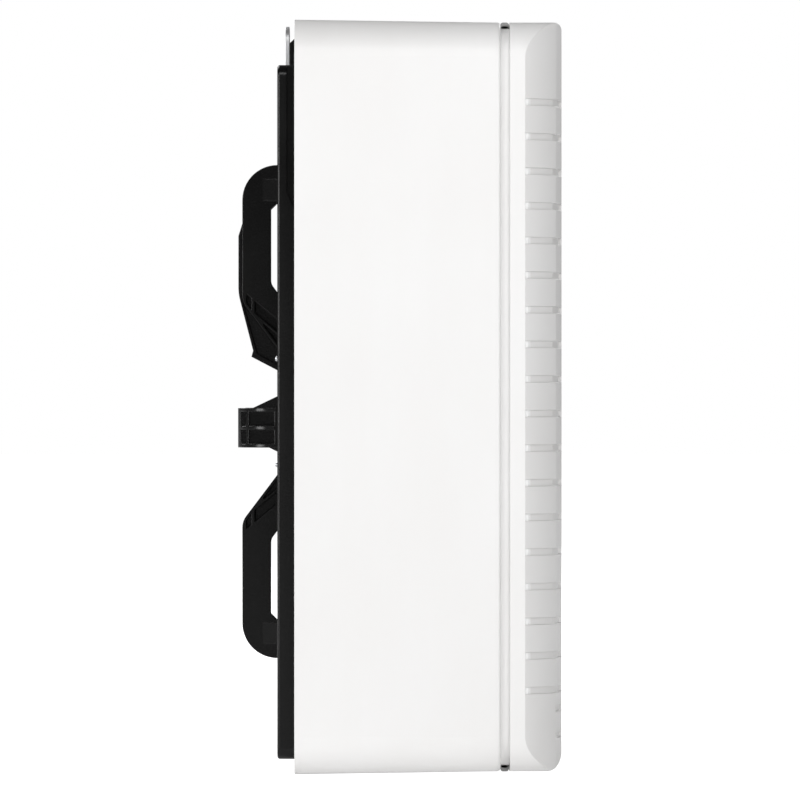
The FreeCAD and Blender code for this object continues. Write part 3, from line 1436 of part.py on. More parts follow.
def make_flap(number):
    name = f"flap_{number + 1}"
    height = flap_height(number)
    body = new_body(name)
    rod = Drawing(body, name + "_rod_circle", "YZ", 0)
    rod.circle(S.flap_rod_radius, -flap_axis, height)
    pad(body, rod, 2 * cheek_half + 3, name + "_rod", both_ways=True)
    ear_right = -tie_middle + S.tie_wall / 2 + S.fit_gap + S.crank_wall
    left = ear_right + 1
    front = shutter_face - S.fit_gap
    low = height + S.flap_lead - S.flap_pitch + S.flap_gap
    leaf = Drawing(body, name + "_leaf_outline", "YZ", left)
    leaf.outline(
        [
            (-front, low),
            (-front + S.flap_wall + 0.8, low),
            (-front + S.flap_wall + 0.8, low + 1.2),
            (-front + S.flap_wall, low + 2.4),
            (-front + S.flap_wall, height + S.flap_lead),
            (-front, height + S.flap_lead),
        ]
    )
    pad(body, leaf, cheek_half - left - 0.6, name + "_leaf")
    ear = Drawing(body, name + "_ear_outline", "YZ", ear_right)
    pin_depth = flap_axis - S.crank_length
    ear.outline(
        [
            (-flap_axis - 1.2, height - 2.2),
            (-pin_depth + 2.2, height - 2.2, 1.6),
            (-pin_depth + 2.2, height + 2.2, 1.6),
            (-flap_axis - 1.2, height + 2.2),
        ]
    )
    pad(body, ear, S.crank_wall, name + "_ear", back=True)
    pin = Drawing(body, name + "_pin_circle", "YZ", ear_right - 0.5)
    pin.circle(S.tie_pin_radius, -pin_depth, height)
    pad(body, pin, S.crank_wall + S.tie_wall + 1.2, name + "_pin", back=True)
    finish(body, name)


def make_hangers():
    tabs = []
    screws = []
    for side in (-1, 1):
        name = "left" if side < 0 else "right"
        middle = lug_half * side
        tab = new_body(f"hanger_tab_{name}")
        face = Drawing(tab, f"hanger_{name}_outline", "XZ", S.tab_depth)
        half = S.tab_width / 2
        low = plateau_half - S.tab_insert + 0.2
        high = plateau_half + S.tab_height
        face.outline(
            [
                (middle - half, low),
                (middle + half, low),
                (middle + half, high, half - 1),
                (middle - half, high, half - 1),
            ]
        )
        pad(tab, face, S.tab_wall, f"hanger_{name}_pad")
        pin_hole = Drawing(tab, f"hanger_{name}_screw_circle", "XZ", S.tab_depth)
        pin_hole.circle(S.screw_radius + S.run_gap, middle, tab_screw_height)
        pocket(tab, pin_hole, S.tab_wall, f"hanger_{name}_screw_hole", ahead=True)
        tabs.append(tab)
        screws.append(
            screw(
                f"hanger_screw_{name}",
                S.screw_radius,
                flange_front - S.tab_depth,
                S.screw_head_radius,
                S.screw_head,
                middle,
                flange_front,
                tab_screw_height,
                False,
            )
        )
    finish(group("hanger_tabs", tabs), "hanger_tabs")
    finish(group("hanger_screws", screws), "hanger_screws")


def make_screws():
    case = []
    recess = S.case_screw_head + 0.6
    for number, (x, z) in enumerate(boss_places, start=1):
        case.append(
            screw(
                f"case_screw_{number}",
                S.case_screw_radius,
                S.case_screw_length,
                S.case_screw_head_radius,
                S.case_screw_head,
                x,
                recess,
                z,
            )
        )
    finish(group("case_screws", case), "case_screws")
    ring = []
    for number, (x, z) in enumerate(spider_screw_places(), start=1):
        ring.append(
            screw(
                f"spider_screw_{number}",
                S.screw_radius,
                S.spider_screw_length,
                S.screw_head_radius,
                S.screw_head,
                x,
                S.spider_sink + S.screw_head,
                z,
            )
        )
    finish(group("spider_screws", ring), "spider_screws")
    frame = []
    for number, (x, z) in enumerate(shutter_screw_places, start=1):
        frame.append(
            screw(
                f"shutter_screw_{number}",
                S.screw_radius,
                S.shutter_wall + S.casing_wall,
                S.screw_head_radius,
                S.screw_head,
                x,
                shutter_face,
                z,
            )
        )
    finish(group("shutter_screws", frame), "shutter_screws")


def make_terminals():
    body = new_body("terminal_block")
    base = Drawing(body, "terminal_block_outline", "XZ", S.panel_wall)
    base.middle_box(S.block_width, S.block_height, 1.5, -block_x, block_z)
    pad(body, base, S.block_depth, "terminal_block_pad")
    spacing = S.block_width / 4
    holes = Drawing(body, "terminal_circles", "XZ", S.panel_wall + S.block_depth)
    for step in (-1, 0, 1):
        holes.circle(2.6, -block_x + spacing * step, block_z)
    pocket(body, holes, 8, "terminal_wells")
    wires = Drawing(body, "terminal_wire_outline", "XY", block_z + S.block_height / 2)
    for step in (-1, 0, 1):
        wires.circle(1.8, -block_x + spacing * step, -(S.panel_wall + 5))
    pocket(body, wires, 6, "terminal_wire_holes")
    finish(body, "terminal_block")
    screws = []
    bottom = S.panel_wall + S.block_depth - 8
    for step in (-1, 0, 1):
        x = -block_x + spacing * step
        screws.append(cylinder(f"terminal_screw_{step + 2}", 2.6 - S.press_gap, 5, x, bottom, block_z))
    finish(group("terminal_screws", screws), "terminal_screws")
    lid = new_body("terminal_lid")
    top = S.panel_wall + S.block_depth
    cap = Drawing(lid, "terminal_lid_outline", "XZ", top - 4)
    cap.middle_box(S.block_width + 4, S.block_height + 4, 2.5, -block_x, block_z)
    pad(lid, cap, 6, "terminal_lid_pad")
    room = Drawing(lid, "terminal_lid_room", "XZ", top - 4)
    room.middle_box(S.block_width + 0.2, S.block_height + 0.2, 1.5, -block_x, block_z)
    pocket(lid, room, 4, "terminal_lid_hollow", ahead=True)
    finish(lid, "terminal_lid")
    gland = new_body("cable_gland")
    turn = Drawing(gland, "gland_circle", "XZ", 0.4)
    turn.circle(S.gland_radius - S.press_gap, -block_x, gland_z)
    turn.circle(S.gland_radius - 3.6, -block_x, gland_z)
    pad(gland, turn, 8, "gland_tube")
    flange = Drawing(gland, "gland_flange_circle", "XZ", S.panel_wall)
    flange.circle(S.gland_radius + 1.8, -block_x, gland_z)
    flange.circle(S.gland_radius - 3.6, -block_x, gland_z)
    pad(gland, flange, 3, "gland_flange")
    finish(gland, "cable_gland")


def write_pieces():
    doc.recompute()
    for item in doc.Objects:
        if "Invalid" in item.State or "Error" in item.State:
            raise ValueError(f"{item.Name}: {item.State}")
    os.makedirs("parts", exist_ok=True)
    for name, item in FINISHED:
        shape = item.Shape
        if shape.isNull() or not shape.isValid():
            raise ValueError(f"{name} is not a valid solid")
        shape.exportStep(f"parts/{name}.step")
        box = shape.BoundBox
        print(
            f"{name}: {len(shape.Solids)} solids, {shape.Volume / 1000:.1f} cm3, "
            f"x {box.XMin:.1f} {box.XMax:.1f}, y {box.YMin:.1f} {box.YMax:.1f}, z {box.ZMin:.1f} {box.ZMax:.1f}"
        )


make_casing()
make_cover()
make_seals()
make_sockets()
make_rear_panel()
make_spider()
make_lead_cover()
make_motor()
make_rotor()
make_inlet_cone()
make_shutter()
make_hangers()
make_screws()
make_terminals()
write_pieces()
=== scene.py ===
import logging
import math
from dataclasses import dataclass, field
from enum import Enum
from typing import Callable, Iterable, Protocol

import bpy
from mathutils import Matrix, Vector


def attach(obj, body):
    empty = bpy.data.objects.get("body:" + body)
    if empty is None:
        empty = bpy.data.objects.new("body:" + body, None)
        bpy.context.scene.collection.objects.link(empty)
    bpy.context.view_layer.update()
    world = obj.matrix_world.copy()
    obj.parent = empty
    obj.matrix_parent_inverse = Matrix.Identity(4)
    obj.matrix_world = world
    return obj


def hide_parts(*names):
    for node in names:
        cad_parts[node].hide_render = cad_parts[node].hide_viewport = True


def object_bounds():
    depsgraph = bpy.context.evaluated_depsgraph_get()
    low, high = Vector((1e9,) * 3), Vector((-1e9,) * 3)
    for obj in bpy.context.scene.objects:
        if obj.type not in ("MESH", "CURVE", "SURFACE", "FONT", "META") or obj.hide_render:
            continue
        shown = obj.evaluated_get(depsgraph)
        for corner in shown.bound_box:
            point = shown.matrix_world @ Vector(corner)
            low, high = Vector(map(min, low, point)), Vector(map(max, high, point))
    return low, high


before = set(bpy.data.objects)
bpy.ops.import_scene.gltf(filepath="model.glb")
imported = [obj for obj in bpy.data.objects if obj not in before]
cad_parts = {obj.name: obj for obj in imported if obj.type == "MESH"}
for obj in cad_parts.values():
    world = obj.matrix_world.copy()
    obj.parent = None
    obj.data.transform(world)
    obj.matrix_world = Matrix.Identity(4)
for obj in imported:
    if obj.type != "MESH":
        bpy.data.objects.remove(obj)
CAD_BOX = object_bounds()
LOG = logging.getLogger("window_fan")
MM = 0.001

# A face looks along an axis from this part of its normal on, and squarely so from the second.
FACING = 0.9
SQUARE = 0.99
# Bands that a wave texture draws for each unit of its scale.
WAVE_BANDS = 20.0
# Turn from one fastener of a row to the next, in radians.
FASTENER_TURN = 1.1

Colour = tuple[float, float, float, float]
Triple = tuple[float, float, float]


def grey(level: float, warm: float = 0.0) -> Colour:
    """A linear grey, a little warmer where warm is above zero."""
    return (level * (1.0 + warm), level, level * (1.0 - warm), 1.0)


class Toward(Enum):
    """The side that a fastener's outer end faces."""

    WINDOW = 1.0
    ROOM = -1.0


class Drive(Enum):
    """The recess in a screw's head."""

    CROSS = "cross"
    SLOT = "slot"


class Value:
    """A node's output that takes part in sums."""

    def __init__(self, graph: "Graph", socket: bpy.types.NodeSocket | None) -> None:
        """Keeps the output and the graph that it belongs to."""
        self.graph = graph
        self.socket = socket

    def __add__(self, other: "Value | float") -> "Value":
        """self + other"""
        return self.graph.sum_of("ADD", self, other)

    def __radd__(self, other: float) -> "Value":
        """other + self"""
        return self.graph.sum_of("ADD", other, self)

    def __sub__(self, other: "Value | float") -> "Value":
        """self - other"""
        return self.graph.sum_of("SUBTRACT", self, other)

    def __rsub__(self, other: float) -> "Value":
        """other - self"""
        return self.graph.sum_of("SUBTRACT", other, self)

    def __mul__(self, other: "Value | float") -> "Value":
        """self * other"""
        return self.graph.sum_of("MULTIPLY", self, other)

    def __truediv__(self, other: "Value | float") -> "Value":
        """self / other"""
        return self.graph.sum_of("DIVIDE", self, other)


class Graph:
    """The node tree of one material or of the studio's surroundings."""

    def __init__(self, tree: bpy.types.NodeTree) -> None:
        """Starts from an empty tree."""
        self.tree = tree
        self.tree.nodes.clear()

    def add(
        self,
        kind: str,
        settings: dict[str, object] | None = None,
        inputs: dict[str | int, object] | None = None,
        output: str | int = 0,
    ) -> Value:
        """Adds any node.

        Args:
            kind: the node's type.
            settings: its settings, with a ramp's stops under "stops".
            inputs: values or links of its sockets, by name or number.
            output: the socket that is handed back.

        Returns:
            The chosen output.
        """
        node = self.tree.nodes.new(kind)
        for name, value in (settings or {}).items():
            if name == "stops":
                self._set_stops(node.color_ramp, value)
            else:
                setattr(node, name, value)
        for name, value in (inputs or {}).items():
            if isinstance(value, Value):
                self.tree.links.new(value.socket, node.inputs[name])
            else:
                node.inputs[name].default_value = value
        return Value(self, node.outputs[output] if len(node.outputs) else None)

    def _set_stops(self, ramp: bpy.types.ColorRamp, stops: list[tuple[float, float]]) -> None:
        """Gives a ramp its stops, each a place and a grey level."""
        while len(ramp.elements) < len(stops):
            ramp.elements.new(1.0)
        for element, (place, level) in zip(ramp.elements, stops):
            element.position = place
            element.color = grey(level)

    def sum_of(self, operation: str, first: object, second: object) -> Value:
        """One Math node on two values."""
        return self.add("ShaderNodeMath", {"operation": operation}, {0: first, 1: second})

    def place(self) -> Value:
        """The piece's own coordinates, in metres."""
        return self.add("ShaderNodeTexCoord", output="Object")

    def along(self, axis: str) -> Value:
        """The piece's own coordinate along one axis, in metres."""
        return self.add("ShaderNodeSeparateXYZ", inputs={"Vector": self.place()}, output=axis)

    def noise(
        self, scale: float, detail: float = 2.0, stretch: Triple = (1.0, 1.0, 1.0)
    ) -> Value:
        """Soft noise.

        Args:
            scale: features for each metre.
            detail: octaves.
            stretch: scale along each axis.

        Returns:
            A value round 0.5.
        """
        spot = self.add("ShaderNodeMapping", inputs={"Vector": self.place(), "Scale": stretch})
        return self.add(
            "ShaderNodeTexNoise",
            {"noise_dimensions": "3D"},
            {"Vector": spot, "Scale": scale, "Detail": detail, "Roughness": 0.55},
            "Fac",
        )

    def cells(self, scale: float) -> Value:
        """Distance to the middle of the nearest cell of a cellular pattern."""
        return self.add(
            "ShaderNodeTexVoronoi",
            {"feature": "F1"},
            {"Vector": self.place(), "Scale": scale},
            "Distance",
        )

    def ramp(self, value: Value, *stops: tuple[float, float]) -> Value:
        """A value passed through grey stops."""
        return self.add("ShaderNodeValToRGB", {"stops": list(stops)}, {"Fac": value}, "Color")

    def mixed(self, factor: Value | float, first: object, second: object) -> Value:
        """A colour between two colours."""
        return self.add(
            "ShaderNodeMix", {"data_type": "RGBA"}, {0: factor, 6: first, 7: second}, 2
        )

    def soft_edges(self, radius: float) -> Value:
        """Normals that turn smoothly round a sharp edge."""
        return self.add("ShaderNodeBevel", {"samples": 6}, {"Radius": radius})

    def edge_mask(self, radius: float) -> Value:
        """How near a point lies to a sharp edge, from 0 to 1."""
        plain = self.add("ShaderNodeNewGeometry", output="Normal")
        turn = self.add(
            "ShaderNodeVectorMath",
            {"operation": "DOT_PRODUCT"},
            {0: self.soft_edges(radius), 1: plain},
            "Value",
        )
        return self.ramp(1.0 - turn, (0.01, 0.0), (0.16, 1.0))

    def bumped(self, height: Value, distance: float, strength: float, edge: float) -> Value:
        """A normal raised by a height, over edges softened by a radius.

        Args:
            height: the pattern.
            distance: how high the pattern stands, in metres.
            strength: share of it that shows.
            edge: radius of the softened edges, in metres.

        Returns:
            The normal.
        """
        return self.add(
            "ShaderNodeBump",
            inputs={
                "Strength": strength,
                "Distance": distance,
                "Height": height,
                "Normal": self.soft_edges(edge),
            },
        )

    def surface(self, inputs: dict[str, object]) -> None:
        """Ends a material in one Principled shader with these sockets."""
        shader = self.add("ShaderNodeBsdfPrincipled", inputs=inputs)
        self.add("ShaderNodeOutputMaterial", inputs={"Surface": shader})


class Fastener(Protocol):
    """Anything that models one screw, bolt, nut or grommet."""

    def model(self, length: float) -> bpy.types.Object:
        """Models it along Z with its outer end at zero."""


class Finish(Protocol):
    """Anything that can make a material."""

    name: str

    def paint(self, graph: Graph) -> None:
        """Builds the finish in an empty graph."""


@dataclass(frozen=True)
class GrooveEndHighlight:
    """Where the cover's side grooves start, with a painted highlight: their floors are painted
    whiter to stand in for the light they catch.
    """

    # Painted highlight: the whiter colour painted on the grooves' ends.
    tone: Colour = grey(1.0)
    first: float = -128.65 * MM
    pitch: float = 16.0 * MM
    count: int = 18
    half_height: float = 1.6 * MM
    start: float = -114.4 * MM
    run: float = 2.8 * MM

    def mask(self, graph: Graph) -> Value:
        """1 on the floors of the grooves' ends, where the highlight is painted, 0 elsewhere."""
        above_first = graph.along("Z") - self.first
        half_pitch = self.pitch / 2
        apart = graph.sum_of("PINGPONG", above_first, half_pitch) / (2 * self.half_height)
        inside = graph.ramp(apart, (0.46, 1.0), (0.5, 0.0))
        rise = (above_first + half_pitch) / (self.pitch * self.count)
        row = graph.ramp(rise, (0.0, 0.0), (0.002, 1.0), (0.998, 1.0), (1.0, 0.0))
        forward = (self.start - graph.along("Y")) / (2 * self.run)
        end = graph.ramp(forward, (0.0, 0.0), (0.04, 1.0), (0.46, 1.0), (0.54, 0.0))
        return inside * row * end


@dataclass(frozen=True)
class GlossyShell:
    """Bright moulded shell with a slow drift of tone, faint flow marks and a light orange peel."""

    name: str
    colour: Colour
    shade: Colour
    roughness: float = 0.34
    gloss: float = 0.3
    drift_scale: float = 6.0
    flow_scale: float = 34.0
    flow_stretch: Triple = (1.0, 1.0, 0.16)
    speck_scale: float = 150.0
    dust_scale: float = 11.0
    dust: Colour = grey(0.42, 0.06)
    dust_share: float = 0.14
    peel: float = 420.0
    peel_depth: float = 0.02 * MM
    edge: float = 0.5 * MM
    # Painted highlight on the cover's groove ends, if any.
    ends: GrooveEndHighlight | None = None

    def paint(self, graph: Graph) -> None:
        """Builds the finish in an empty graph."""
        drift = graph.noise(self.drift_scale, 3.0)
        flow = graph.noise(self.flow_scale, 3.0, self.flow_stretch)
        speck = graph.ramp(graph.cells(self.speck_scale), (0.02, 1.0), (0.035, 0.0))
        dusty = graph.ramp(graph.noise(self.dust_scale, 4.0), (0.56, 0.0), (0.7, 1.0))
        tone = graph.ramp(drift * 0.65 + flow * 0.35, (0.34, 0.0), (0.66, 1.0))
        clean = graph.mixed(tone, self.colour, self.shade)
        colour = graph.mixed(speck * dusty * self.dust_share, clean, self.dust)
        # Painted highlight: the floors of the cover's groove ends are painted whiter.
        if self.ends:
            colour = graph.mixed(self.ends.mask(graph), colour, self.ends.tone)
        rough = self.roughness + (flow - 0.5) * 0.1 + (drift - 0.5) * 0.08
        peel = graph.noise(self.peel, 1.0)
        graph.surface(
            {
                "Base Color": colour,
                "Roughness": rough,
                "Specular IOR Level": self.gloss,
                "Normal": graph.bumped(peel, self.peel_depth, 0.35, self.edge),
            }
        )


@dataclass(frozen=True)
class TexturedShell:
    """Moulding with a slow drift of tone, a spark-eroded grain and paler edges."""

    name: str
    colour: Colour
    shade: Colour
    worn: Colour
    roughness: float = 0.4
    grain: float = 1500.0
    depth: float = 0.06 * MM
    edge: float = 0.6 * MM
    gloss: float = 0.35
    drift_scale: float = 14.0
    patch_scale: float = 70.0
    pits_by_grain: float = 0.7
    rub_by_edge: float = 1.6
    rub_share: float = 0.55

    def paint(self, graph: Graph) -> None:
        """Builds the finish in an empty graph."""
        drift = graph.noise(self.drift_scale, 4.0)
        fine = graph.noise(self.grain, 2.0)
        pits = graph.cells(self.grain * self.pits_by_grain)
        rub = graph.edge_mask(self.edge * self.rub_by_edge)
        patchy = graph.ramp(graph.noise(self.patch_scale, 3.0), (0.38, 0.15), (0.64, 1.0))
        tone = graph.ramp(drift * 0.75 + fine * 0.25, (0.36, 0.0), (0.66, 1.0))
        body = graph.mixed(tone, self.colour, self.shade)
        rough = self.roughness + (drift - 0.5) * 0.16 + (fine - 0.5) * 0.08 - rub * 0.08
        graph.surface(
            {
                "Base Color": graph.mixed(rub * patchy * self.rub_share, body, self.worn),
                "Roughness": rough,
                "Specular IOR Level": self.gloss,
                "Normal": graph.bumped(fine * 0.6 + pits * 0.4, self.depth, 0.45, self.edge),
            }
        )


@dataclass(frozen=True)
class SoftRubber:
    """Matt rubber with bloom and a fine skin."""

    name: str
    colour: Colour
    bloom: Colour
    roughness: float = 0.72
    cloud_scale: float = 55.0
    skin_scale: float = 2200.0
    skin_depth: float = 0.05 * MM
    edge: float = 0.4 * MM

    def paint(self, graph: Graph) -> None:
        """Builds the finish in an empty graph."""
        cloud = graph.ramp(graph.noise(self.cloud_scale, 4.0), (0.4, 0.0), (0.68, 1.0))
        skin = graph.noise(self.skin_scale, 2.0)
        graph.surface(
            {
                "Base Color": graph.mixed(cloud * 0.6, self.colour, self.bloom),
                "Roughness": self.roughness + (skin - 0.5) * 0.2,
                "Normal": graph.bumped(skin, self.skin_depth, 0.5, self.edge),
            }
        )


@dataclass(frozen=True)
class PlainMetal:
    """Drawn, plated or cast metal with directional scratches and clouding."""

    name: str
    colour: Colour
    tarnish: Colour
    roughness: float = 0.28
    along: Triple = (1.0, 1.0, 1.0)
    grain: float = 900.0
    depth: float = 0.02 * MM
    cloud_scale: float = 90.0
    rub_width: float = 0.6 * MM
    edge: float = 0.3 * MM

    def paint(self, graph: Graph) -> None:
        """Builds the finish in an empty graph."""
        cloud = graph.ramp(graph.noise(self.cloud_scale, 4.0), (0.42, 0.0), (0.7, 1.0))
        lines = graph.noise(self.grain, 3.0, self.along)
        rub = graph.edge_mask(self.rub_width)
        aged = graph.mixed(cloud * 0.7, self.colour, self.tarnish)
        graph.surface(
            {
                "Base Color": graph.mixed(rub * 0.4, aged, self.colour),
                "Metallic": 1.0,
                "Roughness": self.roughness + (lines - 0.5) * 0.22 + cloud * 0.1,
                "Normal": graph.bumped(lines, self.depth, 0.4, self.edge),
            }
        )


@dataclass(frozen=True)
class StackedSheets:
    """Punched steel sheets lying on one another along the fan's axis."""

    name: str
    colour: Colour
    seam: Colour
    rust: Colour = (0.16, 0.085, 0.04, 1.0)
    sheets: float = 2000.0
    rust_scale: float = 160.0
    seam_depth: float = 0.1 * MM
    edge: float = 0.3 * MM

    def paint(self, graph: Graph) -> None:
        """Builds the finish in an empty graph."""
        band = graph.add(
            "ShaderNodeTexWave",
            {"wave_type": "BANDS", "bands_direction": "Y", "wave_profile": "SIN"},
            {
                "Vector": graph.place(),
                "Scale": self.sheets / WAVE_BANDS,
                "Distortion": 0.4,
                "Detail": 1.0,
            },
            "Fac",
        )
        rusty = graph.ramp(graph.noise(self.rust_scale, 4.0), (0.5, 0.0), (0.7, 1.0))
        gap = graph.ramp(band, (0.1, 1.0), (0.4, 0.0))
        sheet = graph.mixed(gap, self.colour, self.seam)
        graph.surface(
            {
                "Base Color": graph.mixed(rusty * 0.35, sheet, self.rust),
                "Metallic": 0.85,
                "Roughness": 0.42 + rusty * 0.25,
                "Normal": graph.bumped(band, self.seam_depth, 0.5, self.edge),
            }
        )


@dataclass(frozen=True)
class WoundWire:
    """Enamelled wire laid in strands round the fan's axis, with painted shade between the strands.
    """

    name: str
    colour: Colour
    # Painted shade: the darker copper painted in the crevices between strands.
    gap: Colour
    baked: Colour = (0.42, 0.13, 0.045, 1.0)
    strands: float = 1400.0
    tint_scale: float = 60.0
    strand_depth: float = 0.3 * MM
    edge: float = 0.3 * MM

    def paint(self, graph: Graph) -> None:
        """Builds the finish in an empty graph."""
        strand = graph.add(
            "ShaderNodeTexWave",
            {"wave_type": "RINGS", "rings_direction": "Y", "wave_profile": "SIN"},
            {
                "Vector": graph.place(),
                "Scale": self.strands / WAVE_BANDS,
                "Distortion": 1.5,
                "Detail": 2.0,
            },
            "Fac",
        )
        tint = graph.ramp(graph.noise(self.tint_scale, 3.0), (0.35, 0.0), (0.7, 1.0))
        wire = graph.mixed(tint * 0.5, self.colour, self.baked)
        # Painted shade: darker copper painted between the strands, where the crevices would lie in
        # shade.
        between = graph.ramp(strand, (0.05, 1.0), (0.35, 0.0))
        graph.surface(
            {
                "Base Color": graph.mixed(between, wire, self.gap),
                "Metallic": 0.8,
                "Roughness": 0.3 + tint * 0.12,
                "Coat Weight": 0.3,
                "Normal": graph.bumped(strand, self.strand_depth, 0.8, self.edge),
            }
        )


WHITE = grey(0.87, 0.004)
WHITE_SHADE = grey(0.83, 0.012)
DRAWN = (1.0, 1.0, 0.12)

WHITE_SHELL = GlossyShell("white_plastic", WHITE, WHITE_SHADE)
# The cover's shell carries a painted highlight on the ends of its grooves.
COVER_SHELL = GlossyShell("cover_plastic", WHITE, WHITE_SHADE, ends=GrooveEndHighlight())
FLAP_SHELL = GlossyShell("flap_plastic", grey(0.74, 0.01), grey(0.68, 0.02), peel=620.0)
BLACK_SHELL = TexturedShell(
    "black_plastic", grey(0.0018), grey(0.0034), grey(0.02), 0.22, gloss=0.32
)
FAN_SHELL = TexturedShell("fan_plastic", grey(0.03), grey(0.042), grey(0.1), 0.34, 1100.0)
TERMINAL_SHELL = TexturedShell(
    "terminal_plastic", grey(0.55, 0.05), grey(0.5, 0.07), grey(0.66, 0.03), 0.45, 1300.0
)
GREY_RUBBER = SoftRubber("grey_rubber", grey(0.36), grey(0.45))
BLACK_RUBBER = SoftRubber("black_rubber", grey(0.016), grey(0.04))
STEEL = PlainMetal("steel", (0.62, 0.63, 0.65, 1.0), (0.48, 0.48, 0.47, 1.0), 0.26, DRAWN)
ZINC_SHEET = PlainMetal("zinc_sheet", (0.74, 0.75, 0.76, 1.0), (0.6, 0.6, 0.6, 1.0), 0.44, DRAWN)
BRASS = PlainMetal("terminal_brass", (0.74, 0.53, 0.24, 1.0), (0.5, 0.33, 0.13, 1.0), 0.3)
BRONZE = PlainMetal(
    "bearing_bronze",
    (0.5, 0.32, 0.15, 1.0),
    (0.3, 0.18, 0.08, 1.0),
    0.48,
    grain=2600.0,
    depth=0.08 * MM,
)
ALLOY = PlainMetal(
    "motor_alloy",
    (0.6, 0.61, 0.62, 1.0),
    (0.44, 0.45, 0.46, 1.0),
    0.46,
    grain=1500.0,
    depth=0.1 * MM,
)
SHEETS = StackedSheets("lamination", (0.4, 0.41, 0.43, 1.0), (0.07, 0.07, 0.08, 1.0))
# The second colour is the painted shade between the strands.
WIRE = WoundWire("copper", (0.72, 0.3, 0.12, 1.0), (0.09, 0.03, 0.012, 1.0))


class Paintbox:
    """Makes each finish once and hands it out."""

    def __init__(self) -> None:
        """Starts with no finish made."""
        self.made: dict[str, bpy.types.Material] = {}

    def material(self, finish: Finish) -> bpy.types.Material:
        """The material of a finish."""
        if finish.name not in self.made:
            material = bpy.data.materials.new("finish_" + finish.name)
            material.use_nodes = True
            finish.paint(Graph(material.node_tree))
            self.made[finish.name] = material
        return self.made[finish.name]

    def cover(self, piece: bpy.types.Object, finish: Finish) -> None:
        """Gives a piece one finish all over."""
        material = self.material(finish)
        if not piece.material_slots:
            piece.data.materials.append(material)
        for slot in piece.material_slots:
            slot.material = material


PAINT = Paintbox()


def deselect() -> None:
    """Leaves nothing selected, in object mode."""
    if bpy.context.mode != "OBJECT":
        bpy.ops.object.mode_set(mode="OBJECT")
    bpy.ops.object.select_all(action="DESELECT")


def settled(scale: Iterable[float] = (1.0, 1.0, 1.0)) -> bpy.types.Object:
    """The form just added, resized, with its place, turn and size moved into its mesh."""
    piece = bpy.context.object
    piece.scale = scale
    bpy.ops.object.transform_apply(location=True, rotation=True, scale=True)
    return piece


def smoothed(piece: bpy.types.Object, degrees: float) -> bpy.types.Object:
    """The piece in object mode, shaded smooth where its faces meet below an angle."""
    bpy.ops.object.mode_set(mode="OBJECT")
    bpy.ops.object.shade_smooth_by_angle(angle=math.radians(degrees))
    return piece


def upward(middle: Vector, normal: Vector) -> bool:
    """Whether a face looks up."""
    return normal.z > FACING


def downward(middle: Vector, normal: Vector) -> bool:
    """Whether a face looks down."""
    return normal.z < -FACING


def pick_faces(piece: bpy.types.Object, test: Callable[[Vector, Vector], bool]) -> None:
    """Enters edit mode with the faces selected whose middle and normal pass a test.

    Args:
        piece: the piece being modelled.
        test: takes a face's middle and its normal.
    """
    bpy.ops.object.mode_set(mode="EDIT")
    bpy.ops.mesh.select_mode(type="FACE")
    bpy.ops.mesh.select_all(action="DESELECT")
    bpy.ops.object.mode_set(mode="OBJECT")
    for face in piece.data.polygons:
        face.select = test(face.center, face.normal)
    bpy.ops.object.mode_set(mode="EDIT")


def grow(height: float, scale: float = 1.0) -> None:
    """Draws the selected face out along Z and then resizes it."""
    bpy.ops.mesh.extrude_region_move(TRANSFORM_OT_translate={"value": (0.0, 0.0, height)})
    bpy.ops.transform.resize(value=(scale, scale, 1.0))


def cut_away(piece: bpy.types.Object, tool: bpy.types.Object) -> None:
    """Cuts a tool out of a piece, removes the tool and leaves the piece selected."""
    cut = piece.modifiers.new("cut", "BOOLEAN")
    cut.operation = "DIFFERENCE"
    cut.object = tool
    deselect()
    piece.select_set(True)
    bpy.context.view_layer.objects.active = piece
    bpy.ops.object.modifier_apply(modifier=cut.name)
    bpy.data.objects.remove(tool)


def islands(node: str) -> list[tuple[Vector, Vector]]:
    """The separate solids of a CAD node.

    Args:
        node: the node's name.

    Returns:
        The lowest and highest corner of each solid.
    """
    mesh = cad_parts[node].data
    spots: dict[Triple, int] = {}
    number = []
    for vertex in mesh.vertices:
        spot = tuple(round(part, 6) for part in vertex.co)
        number.append(spots.setdefault(spot, len(spots)))
    parent = list(range(len(spots)))

    def root(index: int) -> int:
        """The spot that stands for an island."""
        while parent[index] != index:
            parent[index] = parent[parent[index]]
            index = parent[index]
        return index

    for face in mesh.polygons:
        first = root(number[face.vertices[0]])
        for corner in face.vertices[1:]:
            parent[root(number[corner])] = first
    groups: dict[int, list[Vector]] = {}
    for spot, index in spots.items():
        groups.setdefault(root(index), []).append(Vector(spot))
    return [
        (Vector(map(min, *points)), Vector(map(max, *points)))
        for _, points in sorted(groups.items())
    ]


